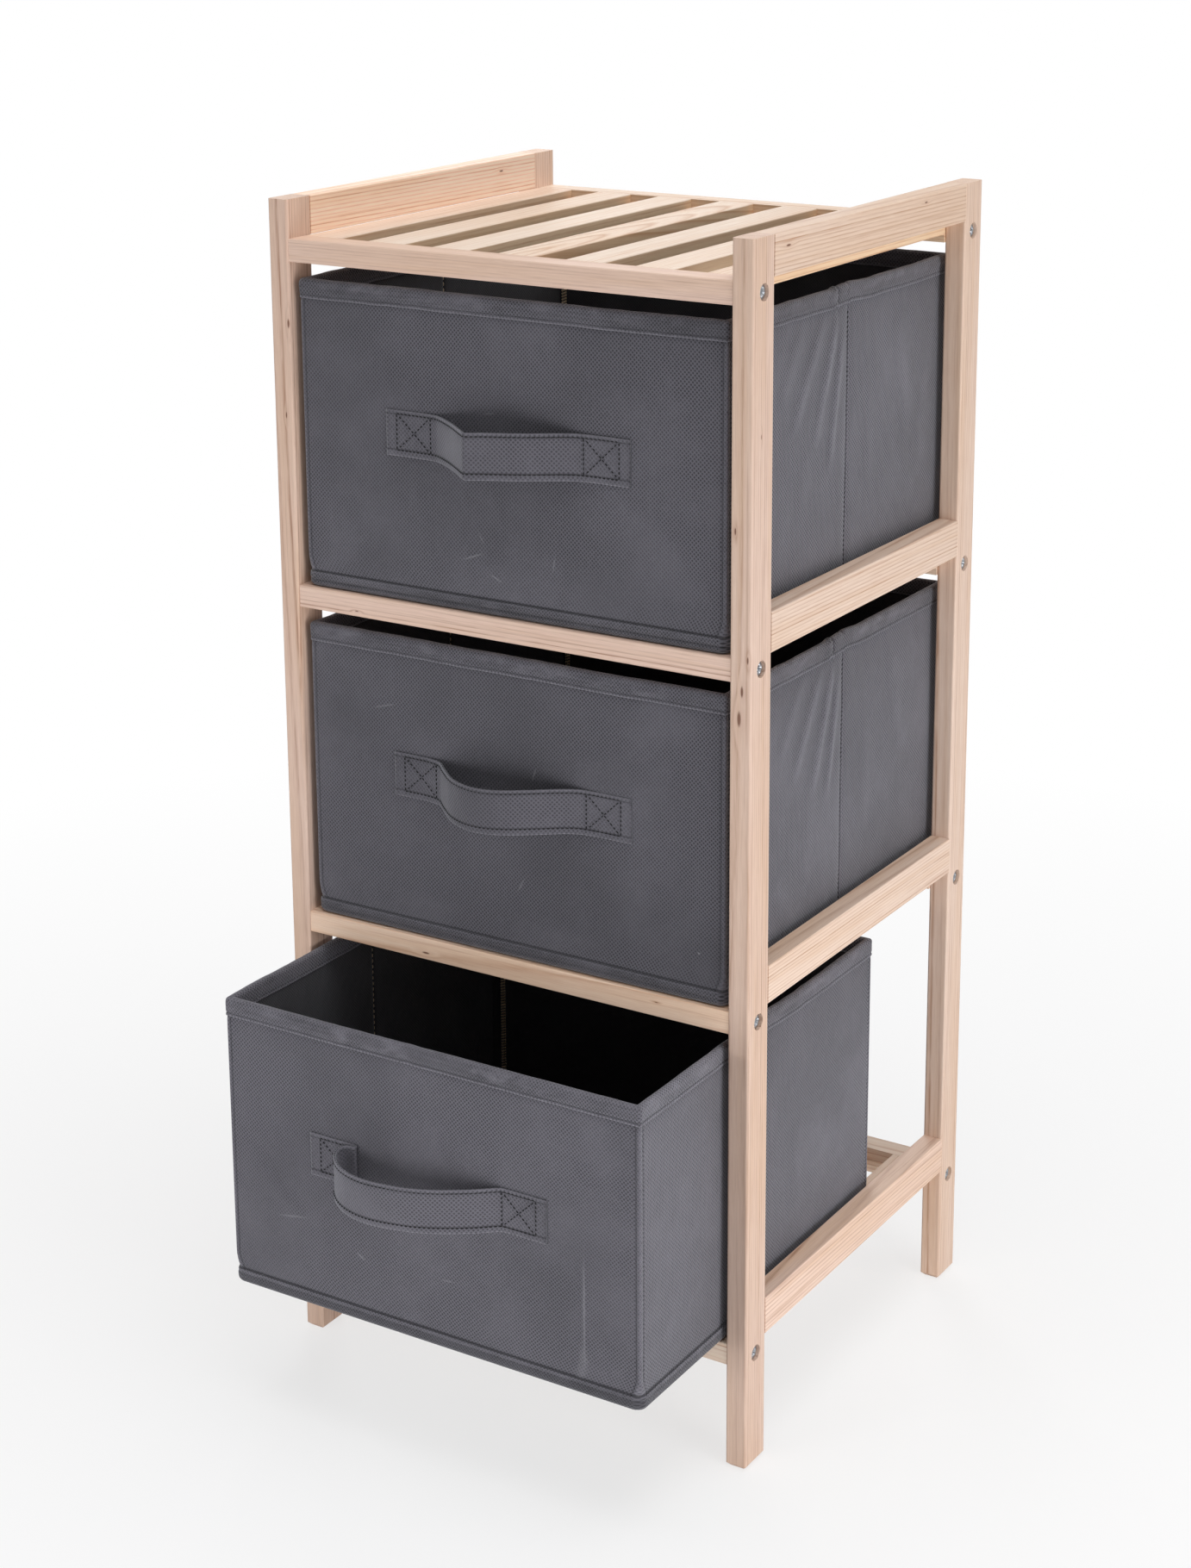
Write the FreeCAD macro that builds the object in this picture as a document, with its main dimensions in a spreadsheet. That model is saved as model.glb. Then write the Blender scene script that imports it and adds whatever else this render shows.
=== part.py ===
import FreeCAD, Part
import math
import os
import re

import Sketcher

# Shelf with fabric drawers: a slatted pine rack with four shelves and three fabric bins.
# Millimetres, +Z up. The floor is z = 0, x = 0 is the middle of the width, and y = 0 is halfway
# between the back of the rack and the foremost point, the strap of the drawer that stands open.

SIZES = {
    # the rack as a whole
    "rack_width": 360.0,
    "rack_depth": 317.0,
    "base_height": 87.9,        # floor to the top face of the lowest shelf
    "tier_pitch": 232.2,        # from one shelf's top face to the next
    # the planed stock of posts and rails
    "stock_thick": 15.0,
    "stock_width": 25.5,
    "post_rounding": 1.6,       # long edges of the posts
    "foot_chamfer": 2.8,        # bottom end of the posts
    "rail_chamfer": 0.6,        # long edges of the rails
    # front and back rails: laid flat, with a rebate that the slats lie in
    "rail_inset": 1.0,          # behind the posts' front face
    "rebate_width": 7.5,
    # slats
    "slat_count": 7,
    "slat_width": 27.5,
    "slat_thick": 9.5,
    "slat_chamfer": 0.5,        # long top edges
    "slat_side_gap": 0.1,       # outer slats to the inner faces of the posts
    "slat_end_gap": 0.2,        # slat ends to the rebates' walls
    # screws, dowels and their holes are so small that a few flat sides make them round enough
    "bore_sides": 20,           # counterbores and screw heads, which show
    "shank_sides": 10,          # shanks, dowels and their holes
    # screws through the posts into the rails' ends
    "bore_radius": 5.5,         # counterbore
    "bore_depth": 4.4,
    "head_radius": 4.9,
    "head_thick": 3.1,
    "shank_radius": 2.0,
    "shank_length": 40.0,       # under the head
    "shank_clearance": 0.3,     # in the post
    "pilot_clearance": 0.05,    # in the rail
    # dowels between side rails and posts
    "dowel_radius": 4.0,
    "dowel_length": 30.0,
    "dowel_clearance": 0.05,
    "dowel_end_gap": 0.6,
    # brads driven from beneath through the rebate's ledge into the slats
    "brad_wide": 1.25,
    "brad_thin": 1.0,
    "brad_bite": 7.0,           # depth in the slat
    "brad_clearance": 0.05,
    # drawers
    "drawer_side_gap": 4.5,     # to the posts on either side
    "drawer_inset": 4.5,        # behind the posts' front face when pushed in
    "drawer_rear_gap": 2.5,     # before the posts' back face when pushed in
    "drawer_lift": 0.3,         # running clearance over the slats
    "drawer_head_gap": 11.4,    # under the rail above
    "pull_out": 103.0,          # how far the bottom drawer stands open
    "corner_cut": 2.2,          # upright corners of the cover
    "cover_thick": 0.8,
    "lining_thick": 0.8,
    "board_thick": 2.4,
    "base_board_thick": 3.0,
    "base_board_gap": 0.5,
    "fold_gap": 4.0,            # between the half boards of a side wall
    "binding_thick": 0.7,
    "rim_drop": 12.5,           # rim binding, down both faces of the wall
    "base_drop": 10.0,          # base binding, up the wall
    "base_lip": 8.0,            # base binding, under the floor
    # strap handles
    "strap_width": 30.5,
    "strap_thick": 1.8,
    "strap_height": 112.0,      # drawer bottom to the strap's middle
    "strap_patch": 36.0,        # length sewn down at each end
    "strap_span": 112.0,        # between the two sewn ends
    "strap_bow": 34.0,          # cover face to the strap's outer face at its foremost run
    # added to every cut that runs out of a piece
    "overrun": 2.0,
}

TIERS = ("base", "lower", "upper", "top")
DRAWERS = {"bottom": "base", "middle": "lower", "top": "upper"}     # the shelf it stands on

# Centre line of each strap between its sewn ends, seen from above: (share of strap_span from the
# middle, share of the bow). The bottom one bulges, the middle one leans out and runs back
# straight, and the top one has a sharp crease.
strap_route_shares = {
    "bottom": ((-0.50, 0.00), (-0.50, 0.42), (-0.40, 0.80), (-0.24, 1.00), (-0.04, 1.00),
               (0.16, 0.82), (0.38, 0.40), (0.52, 0.00)),
    "middle": ((-0.50, 0.00), (-0.41, 0.30), (-0.27, 0.72), (-0.10, 0.94), (0.06, 0.88),
               (0.25, 0.52), (0.42, 0.12), (0.52, 0.00)),
    "top": ((-0.50, 0.00), (-0.40, 0.14), (-0.08, 1.00), (0.22, 0.56), (0.42, 0.12),
            (0.52, 0.00)),
}
strap_bend_share = 0.45         # of the shorter run beside a bend, taken up by its arc

doc = FreeCAD.newDocument("ShelfWithFabricDrawers")
sheet = doc.addObject("Spreadsheet::Sheet", "Sizes")
for row, (name, value) in enumerate(SIZES.items(), start=1):
    sheet.set(f"A{row}", name)
    sheet.set(f"B{row}", str(value))
    sheet.setAlias(f"B{row}", name)
doc.recompute()

PIECES = []                     # every sub-part, in the order it is made


def formula(text):
    # puts the sheet's name before each size in an expression
    return re.sub(r"\b[a-z][a-z_]+\b", lambda found: "Sizes." + found.group(0), text)


def number(text):
    return float(sheet.evalExpression(formula(text)))


def bind(thing, **bindings):
    for prop, text in bindings.items():
        thing.setExpression(prop.replace("__", "."), formula(text))
    return thing


def locate(thing, x="0", y="0", z="0"):
    for axis, text in zip("xyz", (x, y, z)):
        if text != "0":
            thing.setExpression(f"Placement.Base.{axis}", formula(text))
    return thing


def add(kind, label):
    thing = doc.addObject(kind, re.sub(r"\W", "_", label))
    thing.Label = label
    return thing


def origin_plane(body, role):
    return next(plane for plane in body.Origin.OriginFeatures if plane.Role == role)


def outline(body, role, points):
    # a closed outline whose corners are each held by two bound distances
    sketch = body.newObject("Sketcher::SketchObject", body.Name + "_outline")
    sketch.AttachmentSupport = [(origin_plane(body, role), "")]
    sketch.MapMode = "FlatFace"
    corners = [FreeCAD.Vector(number(u), number(v), 0) for u, v in points]
    count = len(corners)
    for i in range(count):
        sketch.addGeometry(Part.LineSegment(corners[i], corners[(i + 1) % count]))
    for i in range(count):
        sketch.addConstraint(Sketcher.Constraint("Coincident", i, 2, (i + 1) % count, 1))
    for i, corner in enumerate(points):
        for kind, text, axis in zip(("DistanceX", "DistanceY"), corner, (-2, -1)):
            if text == "0":
                sketch.addConstraint(Sketcher.Constraint("PointOnObject", i, 1, axis))
            else:
                held = Sketcher.Constraint(kind, -1, 1, i, 1, number(text))
                sketch.setExpression(f"Constraints[{sketch.addConstraint(held)}]", formula(text))
    return sketch


def padded(label, role, points, length):
    body = add("PartDesign::Body", label)
    pad = body.newObject("PartDesign::Pad", body.Name + "_pad")
    pad.Profile = outline(body, role, points)
    bind(pad, Length=length)
    doc.recompute()
    return body


def dressed(body, kind, size, picks):
    # a "Fillet" or "Chamfer" on the edges of the body that picks(edge) accepts
    base = body.Tip
    names = [f"Edge{i}" for i, edge in enumerate(base.Shape.Edges, start=1) if picks(edge)]
    dress = body.newObject("PartDesign::" + kind, body.Name + "_" + kind.lower())
    dress.Base = (base, names)
    bind(dress, **{"Radius" if kind == "Fillet" else "Size": size})
    doc.recompute()
    return body


def runs_along(axis):
    # picks straight edges parallel to "x", "y" or "z"
    def picks(edge):
        ends = [vertex.Point for vertex in edge.Vertexes]
        return len(ends) == 2 and all(abs(getattr(ends[0] - ends[1], other)) < 1e-6
                                      for other in "xyz".replace(axis, ""))
    return picks


def rectangle(u, v):
    return (("0", "0"), (u, "0"), (u, v), ("0", v))


def block(label, long_x, long_y, long_z):
    solid = add("Part::Box", label)
    return bind(solid, Length=long_x, Width=long_y, Height=long_z)


def upright_block(label, long_x, long_y, long_z, corner):
    # a block with its four upright corners cut off
    body = padded(label, "XY_Plane", rectangle(long_x, long_y), long_z)
    return dressed(body, "Chamfer", corner, runs_along("z"))


def peg(label, radius, length, axis, sides="shank_sides"):
    # a many-sided rod from the origin along x or y, for a pin or the hole it goes in
    solid = add("Part::Prism", label)
    turns = {"x": ((0, 1, 0), 90), "y": ((1, 0, 0), -90)}
    solid.Placement.Rotation = FreeCAD.Rotation(FreeCAD.Vector(*turns[axis][0]), turns[axis][1])
    return bind(solid, Polygon=sides, Circumradius=radius, Height=length)


def compound(label, members):
    group = add("Part::Compound", label)
    group.Links = members
    return group


def cut(label, base, tools):
    result = add("Part::Cut", label)
    result.Base = base
    result.Tool = tools[0] if len(tools) == 1 else compound(label + "_tools", tools)
    return result


def copy(label, source, x="0", y="0", z="0", turn=0):
    # the same piece again in another place, turned about the upright
    again = compound(label, [source])
    again.Placement.Rotation = FreeCAD.Rotation(FreeCAD.Vector(0, 0, 1), turn)
    return locate(again, x, y, z)


def piece(thing):
    PIECES.append(thing)
    return thing


# Places that several pieces share

tier_count = len(TIERS)
slat_count = int(SIZES["slat_count"])
reach = "(pull_out + strap_bow - binding_thick - drawer_inset)"
front = f"(({reach} - rack_depth) / 2)"
back = f"(({reach} + rack_depth) / 2)"
inner_width = "(rack_width - 2 * stock_thick)"
post_height = f"(base_height + {tier_count - 1} * tier_pitch + stock_width)"
ledge_height = "(stock_thick - slat_thick)"
top_face_width = "(stock_width - rebate_width)"
slat_length = f"(rack_depth - 2 * (rail_inset + {top_face_width} + slat_end_gap))"
slat_step = f"(({inner_width} - 2 * slat_side_gap - slat_width) / (slat_count - 1))"
screw_depth_y = "(stock_width / 2)"
pilot_depth = "(shank_length + bore_depth - stock_thick + overrun)"
side_rail_length = "(rack_depth - 2 * stock_width)"
drawer_width = f"({inner_width} - 2 * drawer_side_gap)"
drawer_depth = "(rack_depth - drawer_inset - drawer_rear_gap)"
drawer_height = "(tier_pitch - stock_thick - drawer_lift - drawer_head_gap)"
dowel_hole_depth = "(dowel_length / 2 + dowel_end_gap)"


def level(tier):
    return f"(base_height + {tier} * tier_pitch)"


def slat_left(i):
    return f"(-{inner_width} / 2 + slat_side_gap + {i} * {slat_step})"


# Posts: rounded sticks with a counterbored screw hole under each shelf and a dowel hole beside
# each side rail. The outer side face is local x = 0.

def make_post(label, dowel_side_low):
    body = padded(label + "_stick", "XY_Plane", rectangle("stock_thick", "stock_width"),
                  post_height)
    dressed(body, "Chamfer", "foot_chamfer",
            lambda edge: max(v.Point.z for v in edge.Vertexes) < number("foot_chamfer"))
    dressed(body, "Fillet", "post_rounding", runs_along("z"))
    tools = []
    for tier, tier_name in enumerate(TIERS):
        name = f"{label}_{tier_name}"
        screw_z = f"{level(tier)} - stock_thick / 2"
        counterbore = peg(name + "_counterbore", "bore_radius", "bore_depth + overrun", "x",
                          "bore_sides")
        tools.append(locate(counterbore, "-overrun", screw_depth_y, screw_z))
        clearance = peg(name + "_clearance", "shank_radius + shank_clearance",
                        "stock_thick + 2 * overrun", "x")
        tools.append(locate(clearance, "-overrun", screw_depth_y, screw_z))
        dowel_hole = peg(name + "_dowel_hole", "dowel_radius + dowel_clearance",
                         f"{dowel_hole_depth} + overrun", "y")
        hole_y = "-overrun" if dowel_side_low else f"stock_width - {dowel_hole_depth}"
        tools.append(locate(dowel_hole, "stock_thick / 2", hole_y,
                            f"{level(tier)} + stock_width / 2"))
    return cut(label, body, tools)


post_a = make_post("post_pattern", False)
post_b = make_post("post_pattern_mirrored", True)
post_places = (
    ("post_front_left", post_a, "-rack_width / 2", front, 0),
    ("post_rear_left", post_b, "-rack_width / 2", f"{back} - stock_width", 0),
    ("post_front_right", post_b, "rack_width / 2", f"{front} + stock_width", 180),
    ("post_rear_right", post_a, "rack_width / 2", back, 180),
)
for label, source, x, y, turn in post_places:
    piece(copy(label, source, x, y, "0", turn))


# Side rails: the same stock on edge, butted between the posts, their lower edge at shelf level

def make_side_rail():
    body = padded("side_rail_stick", "XY_Plane", rectangle("stock_thick", side_rail_length),
                  "stock_width")
    dressed(body, "Chamfer", "rail_chamfer", runs_along("y"))
    tools = []
    for end, hole_y in (("front", "-overrun"), ("rear", f"{side_rail_length} - {dowel_hole_depth}")):
        hole = peg(f"side_rail_{end}_hole", "dowel_radius + dowel_clearance",
                   f"{dowel_hole_depth} + overrun", "y")
        tools.append(locate(hole, "stock_thick / 2", hole_y, "stock_width / 2"))
    return cut("side_rail_pattern", body, tools)


side_rail = make_side_rail()
for side, x in (("left", "-rack_width / 2"), ("right", "rack_width / 2 - stock_thick")):
    for tier, tier_name in enumerate(TIERS):
        piece(copy(f"side_rail_{side}_{tier_name}", side_rail, x, f"{front} + stock_width",
                   level(tier)))


# Front and back rails: laid flat, rebated along the inner top edge, with pilot holes in the ends
# and a brad hole in the ledge under each slat. The outer face is local y = 0.

def brad_hole(label, length):
    return block(label, "brad_wide + 2 * brad_clearance", "brad_thin + 2 * brad_clearance", length)


def make_cross_rail():
    section = (("0", "0"), ("stock_width", "0"), ("stock_width", ledge_height),
               (top_face_width, ledge_height), (top_face_width, "stock_thick"),
               ("0", "stock_thick"))
    body = padded("cross_rail_stick", "YZ_Plane", section, inner_width)


    def outer_edges(edge):
        return runs_along("x")(edge) and edge.Vertexes[0].Point.y < number(top_face_width) / 2

    dressed(body, "Chamfer", "rail_chamfer", outer_edges)
    tools = []
    pilot_y = f"{screw_depth_y} - rail_inset"
    for end, hole_x in (("left", "-overrun"), ("right", f"{inner_width} - {pilot_depth}")):
        pilot = peg(f"cross_rail_{end}_pilot", "shank_radius + pilot_clearance",
                    f"{pilot_depth} + overrun", "x")
        tools.append(locate(pilot, hole_x, pilot_y, "stock_thick / 2"))
    for i in range(slat_count):
        hole = brad_hole(f"cross_rail_brad_hole_{i + 1}", "stock_thick")
        tools.append(locate(hole, f"slat_side_gap + slat_width / 2 + {i} * {slat_step}"
                                  " - brad_wide / 2 - brad_clearance",
                            f"{top_face_width} + rebate_width / 2 - brad_thin / 2 - brad_clearance",
                            f"{ledge_height} - stock_thick"))
    return cut("cross_rail_pattern", body, tools)


cross_rail = make_cross_rail()
for tier, tier_name in enumerate(TIERS):
    rail_z = f"{level(tier)} - stock_thick"
    piece(copy(f"front_rail_{tier_name}", cross_rail, f"-{inner_width} / 2",
               f"{front} + rail_inset", rail_z))
    piece(copy(f"back_rail_{tier_name}", cross_rail, f"{inner_width} / 2",
               f"{back} - rail_inset", rail_z, 180))


# Slats: one by one on the top shelf, as a set on each lower shelf

brad_from_end = "(rebate_width / 2 - slat_end_gap)"


def make_slat():
    body = padded("slat_stick", "XY_Plane", rectangle("slat_width", slat_length), "slat_thick")
    dressed(body, "Chamfer", "slat_chamfer",
            lambda edge: runs_along("y")(edge) and edge.Vertexes[0].Point.z > number("slat_chamfer"))
    tools = []
    for end, middle in (("front", brad_from_end), ("rear", f"{slat_length} - {brad_from_end}")):
        hole = brad_hole(f"slat_{end}_brad_hole", "brad_bite + brad_clearance + overrun")
        tools.append(locate(hole, "slat_width / 2 - brad_wide / 2 - brad_clearance",
                            f"{middle} - brad_thin / 2 - brad_clearance", "-overrun"))
    return cut("slat_pattern", body, tools)


slat = make_slat()
slat_y = f"{front} + rail_inset + {top_face_width} + slat_end_gap"
for tier, tier_name in enumerate(TIERS):
    row = [copy(f"{tier_name}_slat_{i + 1}", slat, slat_left(i), slat_y,
                f"{level(tier)} - slat_thick") for i in range(slat_count)]
    if tier_name == "top":
        for single in row:
            piece(single)
    else:
        piece(compound(f"slats_{tier_name}", row))


# Screws: a flat head and a shank. Local +x is the way they go in, and x = 0 is the underside of
# the head.

def make_screw():
    head = peg("screw_head", "head_radius", "head_thick", "x", "bore_sides")
    locate(head, "-head_thick")
    shank = peg("screw_shank", "shank_radius", "shank_length", "x")
    body = add("Part::Fuse", "screw_pattern")
    body.Base = head
    body.Tool = shank
    return body


screw = make_screw()
screws = []
for tier, tier_name in enumerate(TIERS):
    for row_name, screw_y in (("front", f"{front} + {screw_depth_y}"),
                              ("rear", f"{back} - {screw_depth_y}")):
        for side, side_x, turn in (("left", "-rack_width / 2 + bore_depth", 0),
                                   ("right", "rack_width / 2 - bore_depth", 180)):
            screws.append(copy(f"screw_{row_name}_{side}_{tier_name}", screw, side_x, screw_y,
                               f"{level(tier)} - stock_thick / 2", turn))
piece(compound("frame_screws", screws))


# Dowels in the joints between side rails and posts

dowel = peg("dowel_pattern", "dowel_radius", "dowel_length", "y")
dowels = []
for side, dowel_x in (("left", "stock_thick / 2 - rack_width / 2"),
                      ("right", "rack_width / 2 - stock_thick / 2")):
    for tier, tier_name in enumerate(TIERS):
        for row_name, joint_y in (("front", f"{front} + stock_width"),
                                  ("rear", f"{back} - stock_width")):
            dowels.append(copy(f"dowel_{row_name}_{side}_{tier_name}", dowel, dowel_x,
                               f"{joint_y} - dowel_length / 2", f"{level(tier)} + stock_width / 2"))
piece(compound("frame_dowels", dowels))


# Brads, heads level with the rails' underside

brad = block("brad_pattern", "brad_wide", "brad_thin", f"{ledge_height} + brad_bite")
brads = []
ledge_middle = f"(rail_inset + {top_face_width} + rebate_width / 2)"
for tier, tier_name in enumerate(TIERS):
    for i in range(slat_count):
        for row_name, brad_y in (("front", f"{front} + {ledge_middle}"),
                                 ("rear", f"{back} - {ledge_middle}")):
            brads.append(copy(f"brad_{row_name}_{tier_name}_{i + 1}", brad,
                              f"{slat_left(i)} + slat_width / 2 - brad_wide / 2",
                              f"{brad_y} - brad_thin / 2", f"{level(tier)} - stock_thick"))
piece(compound("slat_brads", brads))


# Drawers. A drawer's own frame: x = 0 in the middle, y = 0 at the front face of its bindings,
# z = 0 under it. Layers from outside in: binding, cover, board, lining.

def layer(label, inset, low, height, corner):
    # a block of the drawer's plan, drawn in by inset all round, from low up
    solid = upright_block(label, f"{drawer_width} - 2 * {inset}", f"{drawer_depth} - 2 * {inset}",
                          height, corner)
    return locate(solid, f"{inset} - {drawer_width} / 2", inset, low)


cover_inset = "binding_thick"
board_inset = "(binding_thick + cover_thick)"
lining_inset = "(binding_thick + cover_thick + board_thick)"
cavity_inset = "(binding_thick + cover_thick + board_thick + lining_thick)"
wall_top = f"({drawer_height} - binding_thick)"
cover_floor = "binding_thick"
board_floor = "(binding_thick + cover_thick)"
lining_floor = "(binding_thick + cover_thick + base_board_thick)"
cavity_floor = "(binding_thick + cover_thick + base_board_thick + lining_thick)"
outer_cut = "corner_cut + binding_thick"
inner_cut = "corner_cut - cover_thick"


def make_cover():
    outside = layer("cover_outside", cover_inset, cover_floor, f"{wall_top} - {cover_floor}",
                    "corner_cut")
    inside = layer("cover_inside", board_inset, board_floor,
                   f"{wall_top} - {board_floor} + overrun", inner_cut)
    return cut("cover_pattern", outside, [inside])


def make_lining():
    outside = layer("lining_outside", lining_inset, lining_floor, f"{wall_top} - {lining_floor}",
                    inner_cut)
    inside = layer("lining_inside", cavity_inset, cavity_floor,
                   f"{wall_top} - {cavity_floor} + overrun", "corner_cut / 2")
    return cut("lining_pattern", outside, [inside])


def make_rim_binding():
    # tape folded over the top edge, down both faces of the wall
    low = f"{drawer_height} - rim_drop"
    outside = layer("rim_outside", "0", low, "rim_drop", outer_cut)
    mouth = layer("rim_mouth", f"({cavity_inset} + binding_thick)", f"{low} - overrun",
                  "rim_drop + 2 * overrun", "corner_cut / 2")
    wall_out = layer("rim_wall_outside", cover_inset, f"{low} - overrun",
                     "rim_drop - binding_thick + overrun", "corner_cut")
    wall_in = layer("rim_wall_inside", cavity_inset, f"{low} - 2 * overrun",
                    "rim_drop + 4 * overrun", "corner_cut / 2")
    wall = cut("rim_wall", wall_out, [wall_in])
    return cut("rim_binding_pattern", cut("rim_ring", outside, [mouth]), [wall])


def make_base_binding():
    # tape up the outside of the wall and a little way under the floor
    outside = layer("base_binding_outside", "0", "0", "base_drop", outer_cut)
    walls = layer("base_binding_walls", cover_inset, cover_floor, "base_drop + overrun",
                  "corner_cut")
    opening = layer("base_binding_opening", "base_lip", "-overrun", "base_drop + overrun",
                    "corner_cut")
    return cut("base_binding_pattern", outside, [walls, opening])


def make_boards():
    board_height = f"{wall_top} - {board_floor}"
    cross_board = block("cross_board_pattern",
                        f"{drawer_width} - 2 * {board_inset} - 2 * ({inner_cut})",
                        "board_thick", board_height)
    half_length = f"(({drawer_depth} - 2 * {lining_inset} - fold_gap) / 2)"
    half_board = block("half_board_pattern", "board_thick", half_length, board_height)
    base_board = block("base_board_pattern",
                       f"{drawer_width} - 2 * ({lining_inset} + base_board_gap)",
                       f"{drawer_depth} - 2 * ({lining_inset} + base_board_gap)",
                       "base_board_thick")
    left_boards = []
    for name, half_y in (("front", lining_inset), ("rear", f"{lining_inset} + {half_length}"
                                                           " + fold_gap")):
        left_boards.append(copy(f"half_board_{name}", half_board, "0", half_y))
    return cross_board, compound("side_boards_pattern", left_boards), base_board


def bent_path(points):
    # straight runs joined by tangent arcs, each taking up a share of the shorter run beside it
    vectors = [FreeCAD.Vector(x, y, 0) for x, y in points]
    edges = []
    start = vectors[0]
    for before, corner, after in zip(vectors, vectors[1:], vectors[2:]):
        way_in = (corner - before).normalize()
        way_out = (after - corner).normalize()
        trim = strap_bend_share * min(corner.distanceToPoint(before), corner.distanceToPoint(after))
        turn = way_in.getAngle(way_out)
        radius = trim / math.tan(turn / 2)
        arc_start = corner - way_in * trim
        arc_end = corner + way_out * trim
        bisector = (way_out - way_in).normalize()
        middle = corner + bisector * (radius / math.cos(turn / 2) - radius)
        edges.append(Part.LineSegment(start, arc_start).toShape())
        edges.append(Part.Arc(arc_start, middle, arc_end).toShape())
        start = arc_end
    edges.append(Part.LineSegment(start, vectors[-1]).toShape())
    return Part.Wire(edges)


def make_strap(name):
    # a webbing ribbon on edge: sewn flat on the cover at both ends, bowed out between them
    span = number("strap_span")
    patch = number("strap_patch")
    thick = number("strap_thick")
    wide = number("strap_width")
    face = number("binding_thick") - thick / 2
    bow = number("strap_bow") - thick
    points = [(-span / 2 - patch, face)]
    points += [(along * span, face - out * bow) for along, out in strap_route_shares[name]]
    points.append((span / 2 + patch, face))
    path = bent_path(points)
    x, y = points[0]
    low = number("strap_height") - wide / 2
    corners = [FreeCAD.Vector(x, y + side * thick / 2, low + up * wide)
               for side, up in ((-1, 0), (1, 0), (1, 1), (-1, 1), (-1, 0))]
    path.translate(FreeCAD.Vector(0, 0, low))
    strap = add("Part::Feature", f"strap_pattern_{name}")
    strap.Shape = path.makePipeShell([Part.makePolygon(corners)], True, False)
    print(f"strap_{name}: length {path.Length:.1f}, volume {strap.Shape.Volume:.1f} of "
          f"{path.Length * thick * wide:.1f}")
    return strap


cover = make_cover()
lining = make_lining()
rim_binding = make_rim_binding()
base_binding = make_base_binding()
cross_board, side_boards, base_board = make_boards()

for name, tier_name in DRAWERS.items():
    prefix = f"{name}_drawer_"
    drawer_y = f"({front} + drawer_inset)"
    if name == "bottom":
        drawer_y = f"({front} + drawer_inset - pull_out)"
    drawer_z = f"({level(TIERS.index(tier_name))} + drawer_lift)"
    board_z = f"{drawer_z} + {board_floor}"
    board_x = f"{board_inset} + {inner_cut} - {drawer_width} / 2"
    piece(copy(prefix + "cover", cover, "0", drawer_y, drawer_z))
    piece(copy(prefix + "lining", lining, "0", drawer_y, drawer_z))
    piece(copy(prefix + "rim_binding", rim_binding, "0", drawer_y, drawer_z))
    piece(copy(prefix + "base_binding", base_binding, "0", drawer_y, drawer_z))
    piece(copy(prefix + "front_board", cross_board, board_x, f"{drawer_y} + {board_inset}", board_z))
    piece(copy(prefix + "back_board", cross_board, board_x,
               f"{drawer_y} + {drawer_depth} - {lining_inset}", board_z))
    side_halves = []
    for side, side_x in (("left", f"{board_inset} - {drawer_width} / 2"),
                         ("right", f"{drawer_width} / 2 - {lining_inset}")):
        side_halves.append(copy(f"{prefix}{side}_boards", side_boards, side_x, drawer_y, board_z))
    piece(compound(prefix + "side_boards", side_halves))
    piece(copy(prefix + "base_board", base_board,
               f"{lining_inset} + base_board_gap - {drawer_width} / 2",
               f"{drawer_y} + {lining_inset} + base_board_gap", board_z))
    piece(copy(prefix + "handle", make_strap(name), "0", drawer_y, drawer_z))

doc.recompute()

# Every object is sound before anything is written
for thing in doc.Objects:
    if "Invalid" in thing.State or "Error" in thing.State:
        raise RuntimeError(f"{thing.Label} did not build: {thing.State}")
for made in PIECES:
    if made.Shape.isNull() or not made.Shape.isValid() or not made.Shape.Solids:
        raise RuntimeError(f"{made.Label} has no sound shape")

os.makedirs("parts", exist_ok=True)
for made in PIECES:
    solids = made.Shape.Solids
    shape = solids[0] if len(solids) == 1 else Part.makeCompound(solids)
    shape.exportStep(f"parts/{made.Label}.step")
print(f"{len(PIECES)} nodes, {sum(len(made.Shape.Solids) for made in PIECES)} solids")
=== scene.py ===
import math

import bpy
import numpy as np
from mathutils import Matrix, Vector


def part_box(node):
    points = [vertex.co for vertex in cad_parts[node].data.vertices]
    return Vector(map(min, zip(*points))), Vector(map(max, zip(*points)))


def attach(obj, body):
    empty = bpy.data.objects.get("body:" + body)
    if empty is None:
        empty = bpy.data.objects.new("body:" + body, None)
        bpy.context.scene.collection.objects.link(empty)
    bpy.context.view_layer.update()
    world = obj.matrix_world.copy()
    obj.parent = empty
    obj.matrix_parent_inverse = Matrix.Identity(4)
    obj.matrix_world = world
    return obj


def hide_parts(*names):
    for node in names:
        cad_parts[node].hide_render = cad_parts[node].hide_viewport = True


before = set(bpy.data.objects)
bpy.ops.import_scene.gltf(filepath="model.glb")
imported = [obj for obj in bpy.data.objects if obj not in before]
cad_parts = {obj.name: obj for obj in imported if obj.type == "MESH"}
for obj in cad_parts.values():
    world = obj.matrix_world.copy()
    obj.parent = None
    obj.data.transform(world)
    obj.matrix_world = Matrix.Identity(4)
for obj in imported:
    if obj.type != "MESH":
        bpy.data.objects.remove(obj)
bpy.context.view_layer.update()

# Lengths are millimetres where no note says metres, and meshes are turned to metres when they are made.
# x runs to the right, y to the back and z up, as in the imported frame.


def cadBoxOf(node):
    low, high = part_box(node)
    return np.array(low) * 1000, np.array(high) * 1000


def metres(lengths):
    return tuple(v / 1000 for v in lengths)


def addObject(name, data):
    item = bpy.data.objects.new(name, data)
    bpy.context.scene.collection.objects.link(item)
    return item


def screenColour(red, green, blue):
    # a colour as seen on the screen, 0 to 255, as the value that a shader takes
    parts = [c / 255 for c in (red, green, blue)]
    return tuple(c / 12.92 if c <= 0.04045 else ((c + 0.055) / 1.055) ** 2.4 for c in parts) + (1.0,)


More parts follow.
